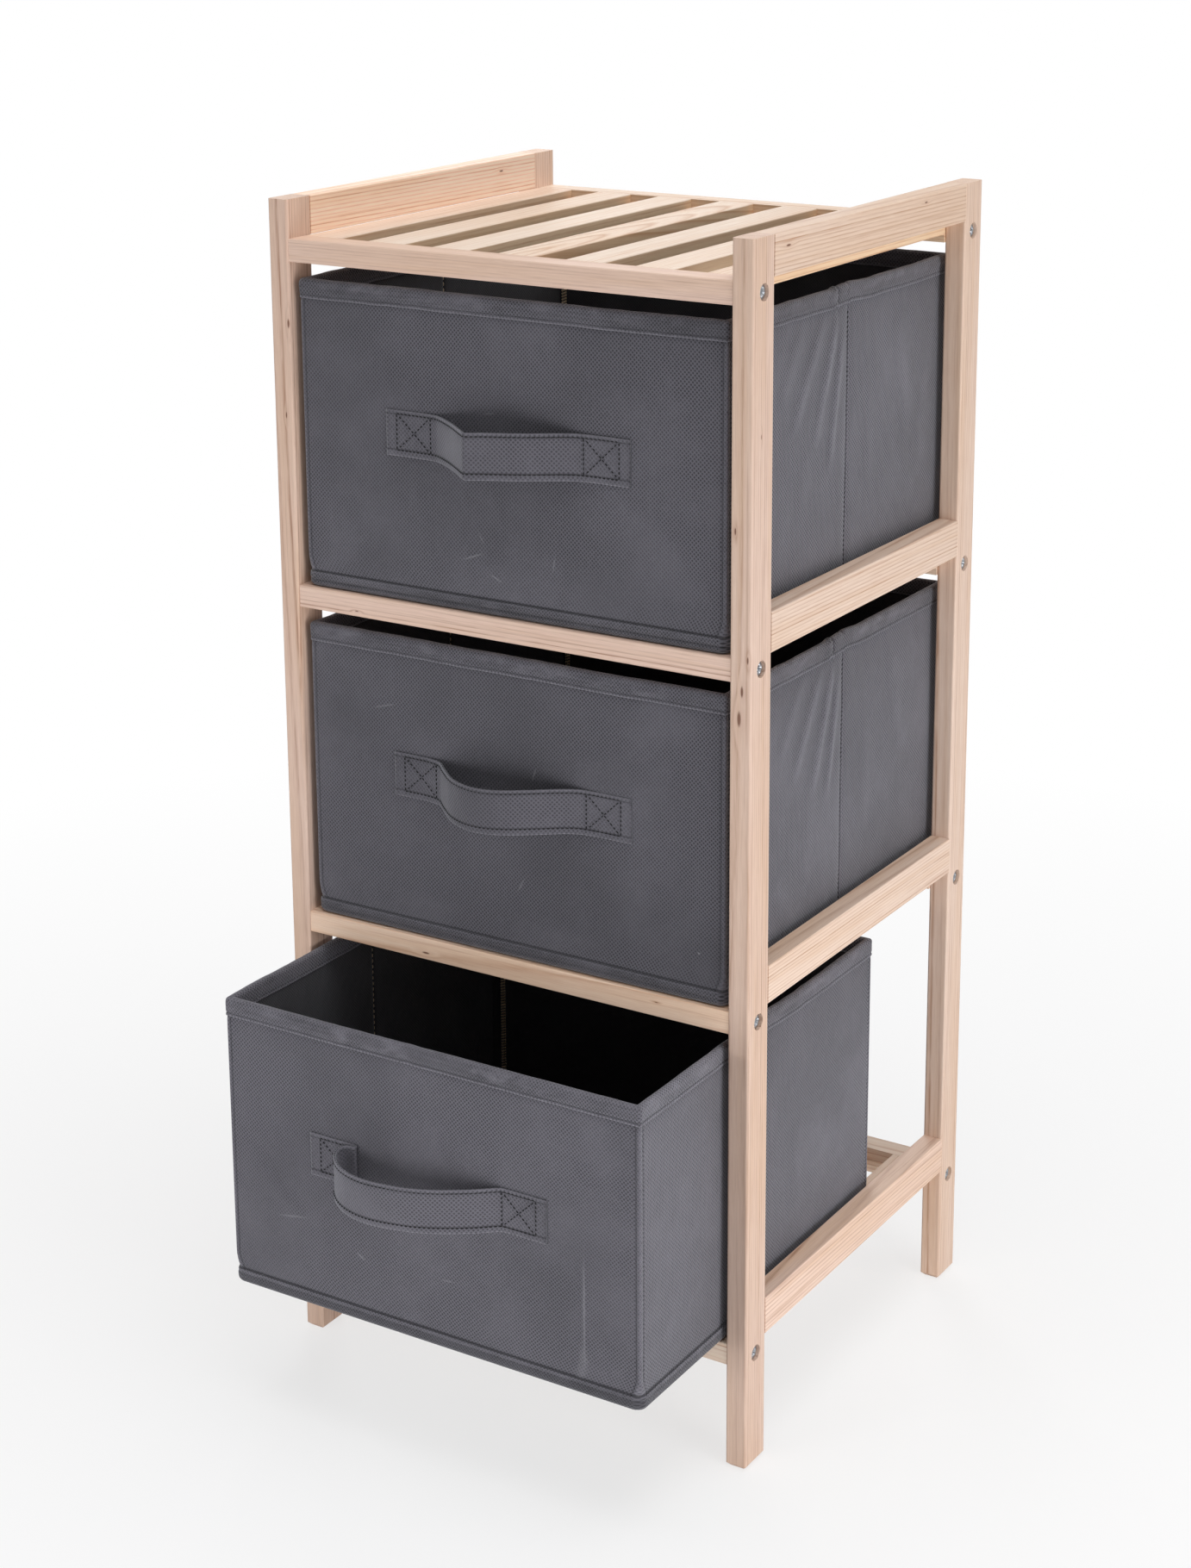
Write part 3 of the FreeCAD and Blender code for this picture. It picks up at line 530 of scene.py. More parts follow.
# each piece's tone is partly the wood's own and partly painted light and shade
rackWood = {
    "post_front_left": dict(rosy=1.0, heart=(-34, 96), tilt=(6, 4), pitch=1.1, toneAndPaintedLight=-0.11,
                            knots=[((-166.3, -92.6, 729), 1.3), ((-170.4, -92.6, 667.7), 0.9)]),
    "post_front_right": dict(rosy=0.9, heart=(-26, 104), tilt=(-4, 5), toneAndPaintedLight=-0.14,
                             knots=[((171.7, -92.6, 515), 2.1), ((173.6, -92.6, 532.6), 1.5),
                                    ((177.5, -92.6, 553), 1.0), ((168.4, -92.6, 632.7), 1.0),
                                    ((180, -82, 690), 0.7)]),
    "post_rear_left": dict(rosy=0.7, heart=(40, -90), tilt=(5, -4), pitch=1.1, toneAndPaintedLight=0.12),
    "post_rear_right": dict(rosy=0.6, heart=(-44, 98), tilt=(3, 5), pitch=0.95, toneAndPaintedLight=-0.08),
    "side_rail_left_base": dict(rosy=0.4, heart=(30, -96), tilt=(6, 0)),
    "side_rail_left_lower": dict(rosy=0.4, heart=(-34, 88), tilt=(0, 8), pitch=1.1, toneAndPaintedLight=-0.03),
    "side_rail_left_upper": dict(rosy=0.3, heart=(28, 100), tilt=(6, 4), pitch=0.9),
    "side_rail_left_top": dict(rosy=0.25, amber=0.05, clear=0.4, heart=(-30, -92), tilt=(6, -4), toneAndPaintedLight=0.28,
                               knots=[((-165, 155.3, 801.8), 1.0)]),
    "side_rail_right_base": dict(rosy=0.8, clear=0.3, heart=(-24, 84), tilt=(14, 0), pitch=1.05, toneAndPaintedLight=0.01),
    "side_rail_right_lower": dict(rosy=0.45, clear=0.35, heart=(26, 90), tilt=(10, 4), pitch=0.9, toneAndPaintedLight=-0.04,
                                  knots=[((180, 180, 318), 0.9), ((180, 192, 310), 0.6)]),
    "side_rail_right_upper": dict(rosy=0.45, clear=0.35, heart=(22, -88), tilt=(12, 0), toneAndPaintedLight=-0.08,
                                  knots=[((180, 172, 549), 1.0), ((180, 186, 543), 0.6)]),
    "side_rail_right_top": dict(rosy=0.4, clear=0.35, heart=(24, 94), tilt=(12, 6), pitch=1.1, toneAndPaintedLight=-0.08,
                                knots=[((180, -50.3, 801.2), 1.2), ((180, 137.4, 804.7), 0.9)]),
    "front_rail_base": dict(heart=(90, 34), tilt=(6, 0)),
    "front_rail_lower": dict(rosy=0.4, amber=0.35, clear=0.5, heart=(20, -96), tilt=(12, 4), pitch=1.5,
                             toneAndPaintedLight=0.12, knots=[((-68.2, -91.6, 310), 1.2), ((112, -91.6, 315), 0.5)]),
    "front_rail_upper": dict(rosy=1.0, heart=(-76, 40), tilt=(8, -4), pitch=0.9, toneAndPaintedLight=-0.07,
                             knots=[((-118, -91.6, 541), 0.6)]),
    "front_rail_top": dict(rosy=1.0, heart=(110, 12), tilt=(4, 4), pitch=0.8, toneAndPaintedLight=-0.06, late=0.5),
    "back_rail_base": dict(heart=(-84, 30), tilt=(6, 0), pitch=1.1),
    "back_rail_lower": dict(rosy=0.3, heart=(80, 46), tilt=(6, 4)),
    "back_rail_upper": dict(heart=(-88, -44), tilt=(8, 0), pitch=0.95),
    # its inner face gets painted warm bounce light too
    "back_rail_top": dict(paintedBounce=0.6, heart=(94, -32), tilt=(6, 4)),
    "top_slat_1": dict(rosy=0.3, amber=0.1, heart=(-60, 44), tilt=(5, 4)),
    "top_slat_2": dict(heart=(44, 80), tilt=(6, 0), pitch=1.1, late=0.6),
    "top_slat_3": dict(heart=(-30, -88), tilt=(0, 6), pitch=0.9, late=0.6, knots=[((-74.3, 42, 780), 1.0)]),
    "top_slat_4": dict(heart=(2, 9), tilt=(100, 0), pitch=2.1, late=0.68, wander=1.3, clear=1.0),
    "top_slat_5": dict(heart=(60, 50), tilt=(5, 4), toneAndPaintedLight=-0.04, late=0.7, knots=[((60.5, 58.2, 780), 0.9)]),
    "top_slat_6": dict(heart=(-66, 40), tilt=(6, -3), pitch=0.95, late=0.7),
    "top_slat_7": dict(heart=(40, -70), tilt=(8, 0), pitch=1.05, toneAndPaintedLight=0.01),
    "slats_base": dict(heart=(0, 72), tilt=(10, 0), pitch=1.1),
    "slats_lower": dict(rosy=0.2, heart=(0, 68), tilt=(10, 0)),
    "slats_upper": dict(heart=(0, -70), tilt=(10, 0), pitch=1.05),
}
# the slats: how many, their spacing, and how strongly painted bounce light tints the faces between them
slatRow = {"count": 7, "spacing": 50.2, "paintedBounce": 0.8}


def dress(node, material):
    for placeholder in list(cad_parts[node].material_slots):
        placeholder.material = material
    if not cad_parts[node].material_slots:
        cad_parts[node].data.materials.append(material)


def finishRack():
    grains = {"post": "z", "front": "x", "back": "x"}           # all others run along y
    firstGap = -slatRow["spacing"] * slatRow["count"] / 2
    extras = {"top": {"paintedBounce": slatRow["paintedBounce"]}, "slats": {"lots": (firstGap, slatRow["spacing"])}}
    for number, (node, look) in enumerate(rackWood.items()):
        kind = node.split("_")[0]
        low, high = cadBoxOf(node)
        dress(node, makePine("pine_" + node, grains.get(kind, "y"), (low + high) / 2, seed=number + 1,
                             **look, **extras.get(kind, {})))
    dress("frame_dowels", makePlain("dowelWood", "dowelWood", stretch=(0.08, 1, 1)))
    dress("slat_brads", makePlain("bradSteel", "bradSteel"))


finishRack()
print("rack: pine on", len(rackWood), "pieces")


# frame screws

screw = {
    "headRadius": 4.9, "headThick": 3.1, "dome": 1.05, "sunk": 4.4, "belowTop": 7.5,
    "crossReach": 3.1, "crossWidth": 0.78, "crossDepth": 2.4,
    "shankRadius": 1.7, "threadOut": 0.38, "threadPitch": 1.8, "length": 40.0,
    "sides": 48,
}


def screwSurface(turn):
    # rings seen along the screw, its head and then the threaded shank as a helix; depth grows inwards
    angles = np.linspace(0, 2 * math.pi, screw["sides"], endpoint=False)
    circle = np.stack([np.cos(angles), np.sin(angles)])
    ring = lambda radius, depth: np.stack([*(radius * circle), depth + 0 * angles], -1)
    rings, reach, sunk = [], screw["crossReach"], screw["sunk"]
    top, tip = sunk - screw["headThick"], sunk + screw["length"]
    for radius in (0.0, 0.35, 0.7, 1.05, 1.4, 1.75, 2.1, 2.4, 2.7, 2.95, 3.2, 3.6, 4.0, 4.35, 4.6, 4.78):
        x, y = radius * circle
        a, b = x * math.cos(turn) + y * math.sin(turn), -x * math.sin(turn) + y * math.cos(turn)
        fall = screw["dome"] * (radius / screw["headRadius"]) ** 2.4
        wide = screw["crossWidth"] * (1.25 - 0.25 * radius / reach)
        arm = np.minimum(np.abs(a), np.abs(b))
        inside = smoothStep((wide - arm) / 0.22 + 0.5) * smoothStep((reach - radius) / 0.25 + 0.5)
        rings.append(ring(radius, top + fall + screw["crossDepth"] * inside * (1 - 0.45 * radius / reach)))
    edge = screw["headRadius"]
    for radius, depth in ((edge, top + 1.25), (edge, top + 1.6), (4.7, sunk - 0.15), (4.3, sunk),
                          (2.2, sunk), (1.95, sunk + 0.3)):
        rings.append(ring(radius, depth))
    for depth in np.arange(sunk + 1.0, tip - 3.0, 0.45):
        wave = np.abs((depth / screw["threadPitch"] - angles / (2 * math.pi)) % 1.0 - 0.5) * 2
        crest = screw["threadOut"] * np.clip(wave * 2.4 - 1.4, 0, 1)
        rings.append(ring(screw["shankRadius"] + crest, depth))
    for radius, depth in ((1.3, tip - 2.4), (0.7, tip - 1.1), (0.08, tip)):
        rings.append(ring(radius, depth))
    return np.array(rings)


def makeScrews():
    sideFace = cadBoxOf("post_front_right")[1][0]
    points, faces = [], []
    turns = iter(np.random.RandomState(5).uniform(0, math.pi / 2, 16))
    for side in (-1, 1):
        for post in ("front", "rear"):
            low, high = cadBoxOf(f"post_{post}_{'left' if side < 0 else 'right'}")
            for tier in ("base", "lower", "upper", "top"):
                grid = screwSurface(next(turns))
                y, z = (low[1] + high[1]) / 2, cadBoxOf(f"front_rail_{tier}")[1][2] - screw["belowTop"]
                rows, cols = grid.shape[:2]
                quads, _ = gridFaces(rows, cols, False, True, np.arange(rows + 1.0), np.arange(cols + 1.0))
                quads.append([(rows - 1) * cols + c for c in range(cols)])
                faces.extend([[v + len(points) for v in f] for f in quads])
                across, up, inwards = np.moveaxis(grid, -1, 0)
                place = np.stack([side * (sideFace - inwards), y + side * across, z + up], -1)
                points.extend(place.reshape(-1, 3).tolist())
    piece = makeObject("frame_screws_detailed", points, faces, makePlain("screwZinc", "screwZinc"))
    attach(piece, "rack")
    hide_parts("frame_screws")


makeScrews()
print("screws: 16 with cross heads")


# fabric drawers

drawerBody = {
    "halfWide": 160.5, "deep": 310.0, "tall": 205.5, "coverFloor": 0.7, "coverTop": 203.6,
    "coverIn": 0.7, "liningIn": 4.7, "tapeInnerIn": 5.4, "liningFloor": 5.3,
    "wallCorner": 1.8, "baseCorner": 6.5, "step": 4.0,
    "rimDrop": 12.5, "bandTall": 10.0, "bandLip": 8.0,
    "fold": 156.5, "foldLean": 1.2, "tapeJoint": (127.0, 141.0), "cornerSeam": 3.8,
}

# what makes each drawer differ: soft folds on walls (start, end, width, rise), pale marks, the strap's lie as
# shares of its span and bow, and the base tape's groove (height, breadth, depth, painted shade below it)
# tone scales each drawer's cloth colour as painted light: the drawers are one fabric, and the bottom one,
# standing out into more light, is painted lighter
drawerLooks = {
    "bottom": dict(
        seed=11, swell=0.42, toneAndPaintedLight=1.02, droop=2.6, innerSeam=8.0, bandGroove=(7.2, 0.55, 0.30, 0.50),
        folds={"front": [((119.0, 6), (119.0, 112), 1.5, 0.55), ((114.0, 7), (114.0, 38), 1.2, -0.25),
                         ((-40, 120), (60, 150), 26, 0.30)],
               "right": [((120, 30), (150, 120), 9, 0.45), ((40, 150), (95, 60), 12, 0.3),
                         ((200, 40), (206, 120), 8, 0.3)]},
        marks=[((-110, 61), 10, 16, 1.2, 0.28), ((-54, 47), -30, 5, 1.4, 0.34), ((15, 49), 5, 7, 0.9, 0.28),
               ((119.0, 58), 90, 50, 1.3, 0.34), ((118.0, 21), 90, 19, 5.4, 0.20)],
        strap=[(-.482, 0), (-.482, .065), (-.555, .075), (-.585, .22), (-.56, .45), (-.44, .80), (-.25, 1),
               (-.04, 1), (.16, .82), (.38, .40), (.515, .02), (.54, 0)],
    ),
    "middle": dict(
        seed=23, swell=0.40, toneAndPaintedLight=0.87, droop=1.0, innerSeam=2.2, bandGroove=(4.8, 0.9, 0.25, 0.16),
        folds={"front": [((-70, 90), (40, 60), 22, 0.3), ((30, 150), (120, 110), 20, 0.25)],
               "right": [((128, 194), (84, 118), 4.2, 1.3), ((143, 192), (112, 104), 3.6, 1.5),
                         ((151, 186), (133, 96), 3.2, 1.3), ((104, 196), (66, 140), 5.5, 0.9),
                         ((118, 150), (104, 40), 7, 0.4), ((225, 190), (246, 90), 8, 0.45),
                         ((192, 150), (190, 60), 6, 0.3), ((60, 70), (92, 20), 9, 0.35)]},
        marks=[((18, 130), 70, 6, 0.9, 0.32), ((7, 52), 60, 8, 0.9, 0.26), ((-100, 157), 15, 12, 1.0, 0.24),
               ((141, 33), 0, 1.4, 1.2, 0.5)],
        strap=[(-.50, 0), (-.41, .30), (-.27, .72), (-.10, .94), (.06, .88), (.25, .52), (.42, .12),
               (.52, 0)],
    ),
    "top": dict(
        seed=37, swell=0.38, toneAndPaintedLight=0.88, droop=0.0, innerSeam=2.2, bandGroove=(4.6, 0.9, 0.50, 0.16),
        folds={"front": [((-90, 150), (-20, 70), 24, 0.3), ((50, 60), (130, 130), 22, 0.25)],
               "right": [((126, 194), (78, 116), 4.4, 1.2), ((142, 192), (108, 100), 3.8, 1.3),
                         ((150, 184), (130, 84), 3.6, 1.2), ((98, 196), (64, 138), 5.5, 0.8),
                         ((110, 142), (91, 60), 7, 0.4), ((226, 188), (246, 80), 8, 0.45),
                         ((186, 140), (188, 60), 6, 0.3), ((270, 150), (262, 60), 7, 0.3),
                         ((73, 80), (60, 30), 9, 0.3)]},
        marks=[((-9.5, 25), -25, 7, 0.9, 0.34), ((-27, 37), 20, 11, 0.9, 0.32), ((35, 40), 80, 7, 0.8, 0.26),
               ((-20, 50), -60, 5, 0.8, 0.24), ((-12.7, 132), 10, 6, 0.9, 0.24)],
        strap=[(-.50, 0), (-.42, .10), (-.26, .50), (-.10, .96), (-.085, .985), (-.075, .975), (.02, .80),
               (.22, .50), (.42, .12), (.52, 0)],
    ),
}
hiddenFolds = {"left": [((60, 60), (120, 150), 12, 0.3)], "back": [((-60, 60), (70, 120), 16, 0.4)]}
strapSize = {"span": 112.0, "bow": 32.2, "lie": -0.2, "wide": 30.5, "thick": 1.8, "height": 112.0,
             "patches": ((-92.0, -54.5), (57.5, 92.0)), "hemTop": 2.6, "hemLow": 4.5}
stitchSizes = {     # pitch, length and radius in each kind of row
    "strap": (3.0, 2.0, 0.42), "fold": (3.2, 2.0, 0.36), "corner": (3.2, 2.1, 0.26),
    "rim": (3.4, 2.3, 0.22), "base": (3.4, 2.3, 0.20),
    "liningFold": (4.2, 3.0, 0.34), "liningCorner": (2.2, 1.9, 0.72),
}

halfWide, binDeep = drawerBody["halfWide"], drawerBody["deep"]
foldAt, seamIn = drawerBody["fold"], drawerBody["cornerSeam"]
coverIn, liningIn, tapeIn = drawerBody["coverIn"], drawerBody["liningIn"], drawerBody["tapeInnerIn"]
jointStart, jointEnd = drawerBody["tapeJoint"]
rimLow = drawerBody["tall"] - drawerBody["rimDrop"]
centreY = binDeep / 2
sideNames = ("back", "left", "front", "right")


def planLoop(marks):
    # the columns once round a drawer seen from above, anticlockwise from the middle of the back wall: each
    # row holds its shares of the half sizes, outward direction, side and place on that side; the length
    # from the start to each column comes beside the rows
    radius = drawerBody["wallCorner"]
    inX, inY = halfWide - radius, centreY - radius
    columns = [(0.0, 1.0, 0.0, 1.0, 0, 0.0)]

    def run(side, start, end):
        out = {"back": (0.0, 1.0), "left": (-1.0, 0.0), "front": (0.0, -1.0), "right": (1.0, 0.0)}[side]
        count = max(int(round(abs(end - start) / drawerBody["step"])), 1)
        apart = lambda place: all(abs(place - mark) > 1.2 for mark in marks[side])
        places = [p for p in np.linspace(start, end, count + 1)[1:-1] if apart(p)]
        places += [m for m in marks[side] if min(start, end) < m < max(start, end)]
        for place in sorted(places, reverse=start > end):
            share = (place / inX, out[1]) if out[0] == 0 else (out[0], (place - centreY) / inY)
            columns.append((*share, *out, sideNames.index(side), place))

    def corner(sideA, placeA, sideB, placeB, x, y, first):
        for k in range(6):
            angle = math.radians(first + 18 * k)
            side, place = (sideA, placeA) if k < 3 else (sideB, placeB)
            columns.append((x, y, math.cos(angle), math.sin(angle), sideNames.index(side), place))

    low, high = centreY - inY, centreY + inY
    run("back", 0.0, -inX)
    corner("back", -inX, "left", high, -1.0, 1.0, 90)
    run("left", high, low)
    corner("left", low, "front", -inX, -1.0, -1.0, 180)
    run("front", -inX, inX)
    corner("front", inX, "right", low, 1.0, -1.0, 270)
    run("right", low, high)
    corner("right", high, "back", inX, 1.0, 1.0, 0)
    run("back", inX, 0.0)
    plan = np.array(columns)
    spots = np.stack([plan[:, 0] * inX + plan[:, 2] * radius, plan[:, 1] * inY + plan[:, 3] * radius], -1)
    return plan, pathLengths(np.vstack([spots, spots[:1]]))


def seamMarks():
    # places that get a column of their own: corner seams, the side walls' fold, the tape's joint and a
    # crease in the front wall
    front = [s * (halfWide - seamIn + d) for s in (-1, 1) for d in (-2.2, -1.0, 0.0, 0.7)]
    nearFold = (0.45, 0.85, 1.3, 1.9, 2.6, 3.4, 4.6)
    sides = [seamIn + d for d in (-0.7, 0.0, 1.0, 2.2)]
    sides += [binDeep - s for s in sides] + [foldAt] + [foldAt + s * d for s in (-1, 1) for d in nearFold]
    tape = [jointStart + d for d in (0, 4, 7, 10)]
    tape += [jointEnd + d for d in (-1.6, -0.9, -0.5, -0.2, 0.0, 0.25, 0.6, 1.2, 2.4)]
    creases = [112.8, 114.0, 115.4, 116.9, 118.2, 119.6, 121.2]
    marks = {"front": front + creases, "right": sides + tape, "left": sides, "back": front}
    return {side: sorted(places) for side, places in marks.items()}


plan, planAlong = planLoop(seamMarks())
planSide, planPlace, planRun = plan[:, 4].astype(int), plan[:, 5], planAlong[:-1]
planOut = np.stack([plan[:, 2], plan[:, 3], np.zeros(len(plan))], -1)
onSides, onRight = np.isin(planSide, (1, 3)), planSide == 3
# how far each column is from the nearest upright corner
planEdge = np.where(onSides, np.minimum(planPlace, binDeep - planPlace), halfWide - np.abs(planPlace))


def bumps(height, size, seed):
    return ripple(planRun, height, size, seed)


def rimWave(seed):
    # how far the rim stands above its lowest line: soft waves, small dents, and a step up at the walls' fold
    soft = 0.30 * (1 + bumps(0.0, 37.0, seed)) + 0.10 * (1 + bumps(3.0, 5.0, seed + 2))
    soft = soft + np.where(onSides, 0.34, 0.18) * (1 + bumps(7.0, 11.0, seed + 1))
    hump = 1.6 * bell((planPlace - foldAt - 2.0) / 15.0) - 0.8 * bell((planPlace - foldAt + 1.0) / 2.0)
    joint = 1.1 * bell((planPlace - jointEnd + 2.5) / 3.5) - 1.3 * bell((planPlace - jointEnd) / 0.9)
    return (soft + np.where(onSides, hump, 0.0) + np.where(onRight, joint, 0.0)).clip(min=0.0)


def rimShare(height):
    # how much of the rim's waves cloth has at a height: none low on the wall, all of them at the rim
    return smoothStep((height - 150) / (rimLow - 150))


def foldGap(height):
    # from the fold line of the two side walls, which leans a little
    lean = drawerBody["foldLean"] * (1 - height / 200)
    return np.where(onSides, np.abs(planPlace - foldAt + lean), 99.0)


def clothOut(look, height):
    # how far the cover stands out from its board, mm
    seed = look["seed"]
    out = look["swell"] * (bumps(height, 58.0, seed) * 0.6 + bumps(height, 23.0, seed + 1) * 0.35)
    out += 0.08 * bumps(height, 9.5, seed + 2)
    out += 0.35 * smoothStep((height - 10) / 60) * smoothStep((rimLow - height) / 60)
    for name, folds in {**hiddenFolds, **look["folds"]}.items():
        for start, end, width, rise in folds:
            ridge = crease(planPlace, height, start, end, width, rise)
            out += np.where(planSide == sideNames.index(name), ridge, 0.0)
    gap = foldGap(height)
    out -= 0.50 * bell(gap / 4.0) + 0.9 * bell(gap / 0.55)
    out = np.where(planEdge < 9.0, out * smoothStep((planEdge - 2.0) / 7.0), out)
    out += np.where(planEdge < seamIn + 1.2, 0.22, 0.0) - 0.46 * bell((planEdge - seamIn) / 0.6)
    # drawn in under the rim tape and just above the base tape
    out -= 0.30 * bell((height - 11.2) / 1.1) + 0.22 * bell(height - rimLow + 0.9)
    under = smoothStep((rimLow + 0.6 - height) / 4.0) * smoothStep((height - 9.0) / 5.0)
    drawn = np.minimum(out, 0.0) * (1 - under) * 0.5 + out * under
    return np.where(under < 1.0, drawn, out).clip(-0.72, 2.4)


def clothTone(out, height):
    # on the cover, 0 to 1: pale wear with painted highlight along corners, fold edges and ridges, and painted
    # shade in the fold, at the corner seams, above the base tape and under the rim
    gap = foldGap(height)
    wearAndPaintedHighlight = 0.75 * bell((planEdge - 1.6) / 0.8) + 0.5 * bell((gap - 1.6) / 0.9)
    wearAndPaintedHighlight = wearAndPaintedHighlight + 0.9 * np.clip(out - 0.55, 0, 1)
    paintedShade = 0.75 * bell(gap / 0.6) + 0.55 * bell((planEdge - seamIn) / 0.6)
    paintedShade = paintedShade + bell((height - 10.6) / 0.55) + 0.22 * bell((height - rimLow + 0.5) / 0.9)
    return wearAndPaintedHighlight.clip(0, 1), paintedShade.clip(0, 1)


def loopPoints(inset, height, radius, out=0.0, lift=0.0):
    # one ring of points; inset, radius and height are one value each, out and lift one per column
    x = plan[:, 0] * (halfWide - inset - radius) + plan[:, 2] * (radius + out)
    y = centreY + plan[:, 1] * (centreY - inset - radius) + plan[:, 3] * (radius + out)
    return np.stack([x, y, np.full(len(plan), height) + lift], -1)


def cornerRadius(height, inset):
    # wide at the base, tight higher up
    base, wall = drawerBody["baseCorner"], drawerBody["wallCorner"]
    return max(base + (wall - base) * smoothStep((height - 6) / 16) - inset, 0.6)


def wallSheet(rows):
    # a grid of rings, the length down it, and a cap over its first ring
    grid = np.array(rows)
    down = np.concatenate([[0.0], np.cumsum(np.linalg.norm(np.diff(grid, axis=0), axis=2).mean(1))])
    loop = list(range(grid.shape[1]))[::-1]
    return grid, down, [(loop, [(grid[0][c][0], grid[0][c][1]) for c in loop])]


def makeCover(name, look, spot, material):
    floorSteps = (150.0, 112.0, 76.0, 44.0, 22.0, 9.0, 3.0, 1.0)
    floorZ = drawerBody["coverFloor"]
    rows = [loopPoints(coverIn + inset, floorZ, max(6.0 - inset, 0.6)) for inset in floorSteps]
    wearAndPaintedHighlight, paintedShade = ([np.zeros(len(plan))] * len(floorSteps) for _ in range(2))
    heights = [0.75, 2.0, 5.0, 8.0, 9.6, 10.2, 10.6, 11.0, 11.6, 12.4, 13.6, 16.0]
    heights += np.linspace(20, 188, 43).tolist() + [190.0, 191.4, 192.2, 192.8, 193.6, 196.0, 200.0]
    heights.append(drawerBody["coverTop"])
    wave = rimWave(look["seed"])
    for height in heights:
        out = clothOut(look, height)
        lift = wave * rimShare(height)
        rows.append(loopPoints(coverIn, height, cornerRadius(height, coverIn), out, lift))
        paleWearAndHighlight, dark = clothTone(out, height)
        wearAndPaintedHighlight.append(paleWearAndHighlight)
        paintedShade.append(dark)
    grid, down, caps = wallSheet(rows)
    # the walls' UV is measured so that place and height read in millimetres on the front wall
    frontZero = np.interp(0.0, planPlace[planSide == 2], planRun[planSide == 2])
    wallRows = np.concatenate([down[:len(floorSteps)] - down[len(floorSteps)], np.array(heights)])
    faces, uvs = gridFaces(*grid.shape[:2], False, True, wallRows, planAlong - frontZero, caps)
    return makeObject(name, grid, faces, material, spot, uvs, {"wearAndPaintedHighlight": wearAndPaintedHighlight, "crease": paintedShade})


def makeLining(name, look, spot, material):
    seed, floorZ = look["seed"], drawerBody["liningFloor"]
    rows = []
    for step in (150.0, 112.0, 76.0, 44.0, 22.0, 9.0, 3.5):
        lift = (0.0 if step > 140 else 0.35) * (1 + bumps(step, 45.0, seed + 5))
        rows.append(loopPoints(liningIn + step - 1.0, floorZ, max(5.0 - step, 0.6), 0.0, lift))
    wave = rimWave(seed)
    gap = np.where(onSides, np.abs(planPlace - foldAt), 99.0)
    heights = [floorZ + d for d in (0.5, 2.0, 5.0)] + np.linspace(16, 190, 36).tolist()
    heights += [193.0, 198.0, 203.0]
    for height in heights:
        soft = -np.abs(0.35 * bumps(height, 46.0, seed + 3) + 0.12 * bumps(height, 15.0, seed + 4)) - 0.1
        soft = soft * smoothStep(gap / 4.0) + 0.8 * bell(gap / 0.9)
        soft *= smoothStep((rimLow - height) / 6.0)
        rows.append(loopPoints(liningIn, height, 0.9, soft, wave * rimShare(height)))
    grid, down, caps = wallSheet(rows)
    faces, uvs = gridFaces(*grid.shape[:2], False, True, down, planAlong, caps)
    flip, at = [], 0                  # the lining is seen from inside, so its faces turn round
    for face in faces:
        flip.extend(reversed(uvs[at:at + len(face)]))
        at += len(face)
    return makeObject(name, grid, [face[::-1] for face in faces], material, spot, flip)


def makeTape(name, section, radii, spot, material, outs, lift, wearAndPaintedHighlight, paintedShade):
    # a closed ribbon section of insets and heights, taken once round the drawer
    rings = zip(section, radii, outs)
    grid = np.array([loopPoints(*point, radius, out, lift) for point, radius, out in rings])
    girth = pathLengths(np.array(section + section[:1]))
    faces, uvs = gridFaces(*grid.shape[:2], True, True, girth, planAlong)
    return makeObject(name, grid, faces, material, spot, uvs, {"wearAndPaintedHighlight": wearAndPaintedHighlight, "crease": paintedShade}), girth[-1]


def rimSection():
    # up the outside with its fold lines, over the edge, down the inside, then back along the tape's
    # other face
    top, inner = 203.2, tapeIn
    mid, small = inner / 2, inner / 2 - 0.65
    rise = lambda points: [(inset, rimLow + height) for inset, height in points]
    over = lambda reach, step: [(mid - reach * math.cos(a), top + reach * math.sin(a))
                                for a in np.radians(np.arange(0, 181, step))]
    section = rise([(0.25, 0), (-0.16, 0.25), (-0.22, 0.9), (-0.10, 1.5), (0.20, 2.1), (0.20, 2.4),
                    (-0.04, 3.0), (-0.06, 4.0), (0.0, 5.6), (0.0, 7.4), (0.0, 9.0)]) + over(mid, 18)
    section += rise([(inner, 8.0), (inner, 5.6), (inner, 3.0), (inner - 0.2, 2.3), (inner, 1.5),
                     (inner + 0.06, 0.6), (inner - 0.1, 0), (inner - 0.62, 0), (inner - 0.65, 5.0)])
    return section + over(small, 30)[::-1] + rise([(0.65, 5.0), (0.62, 0)])


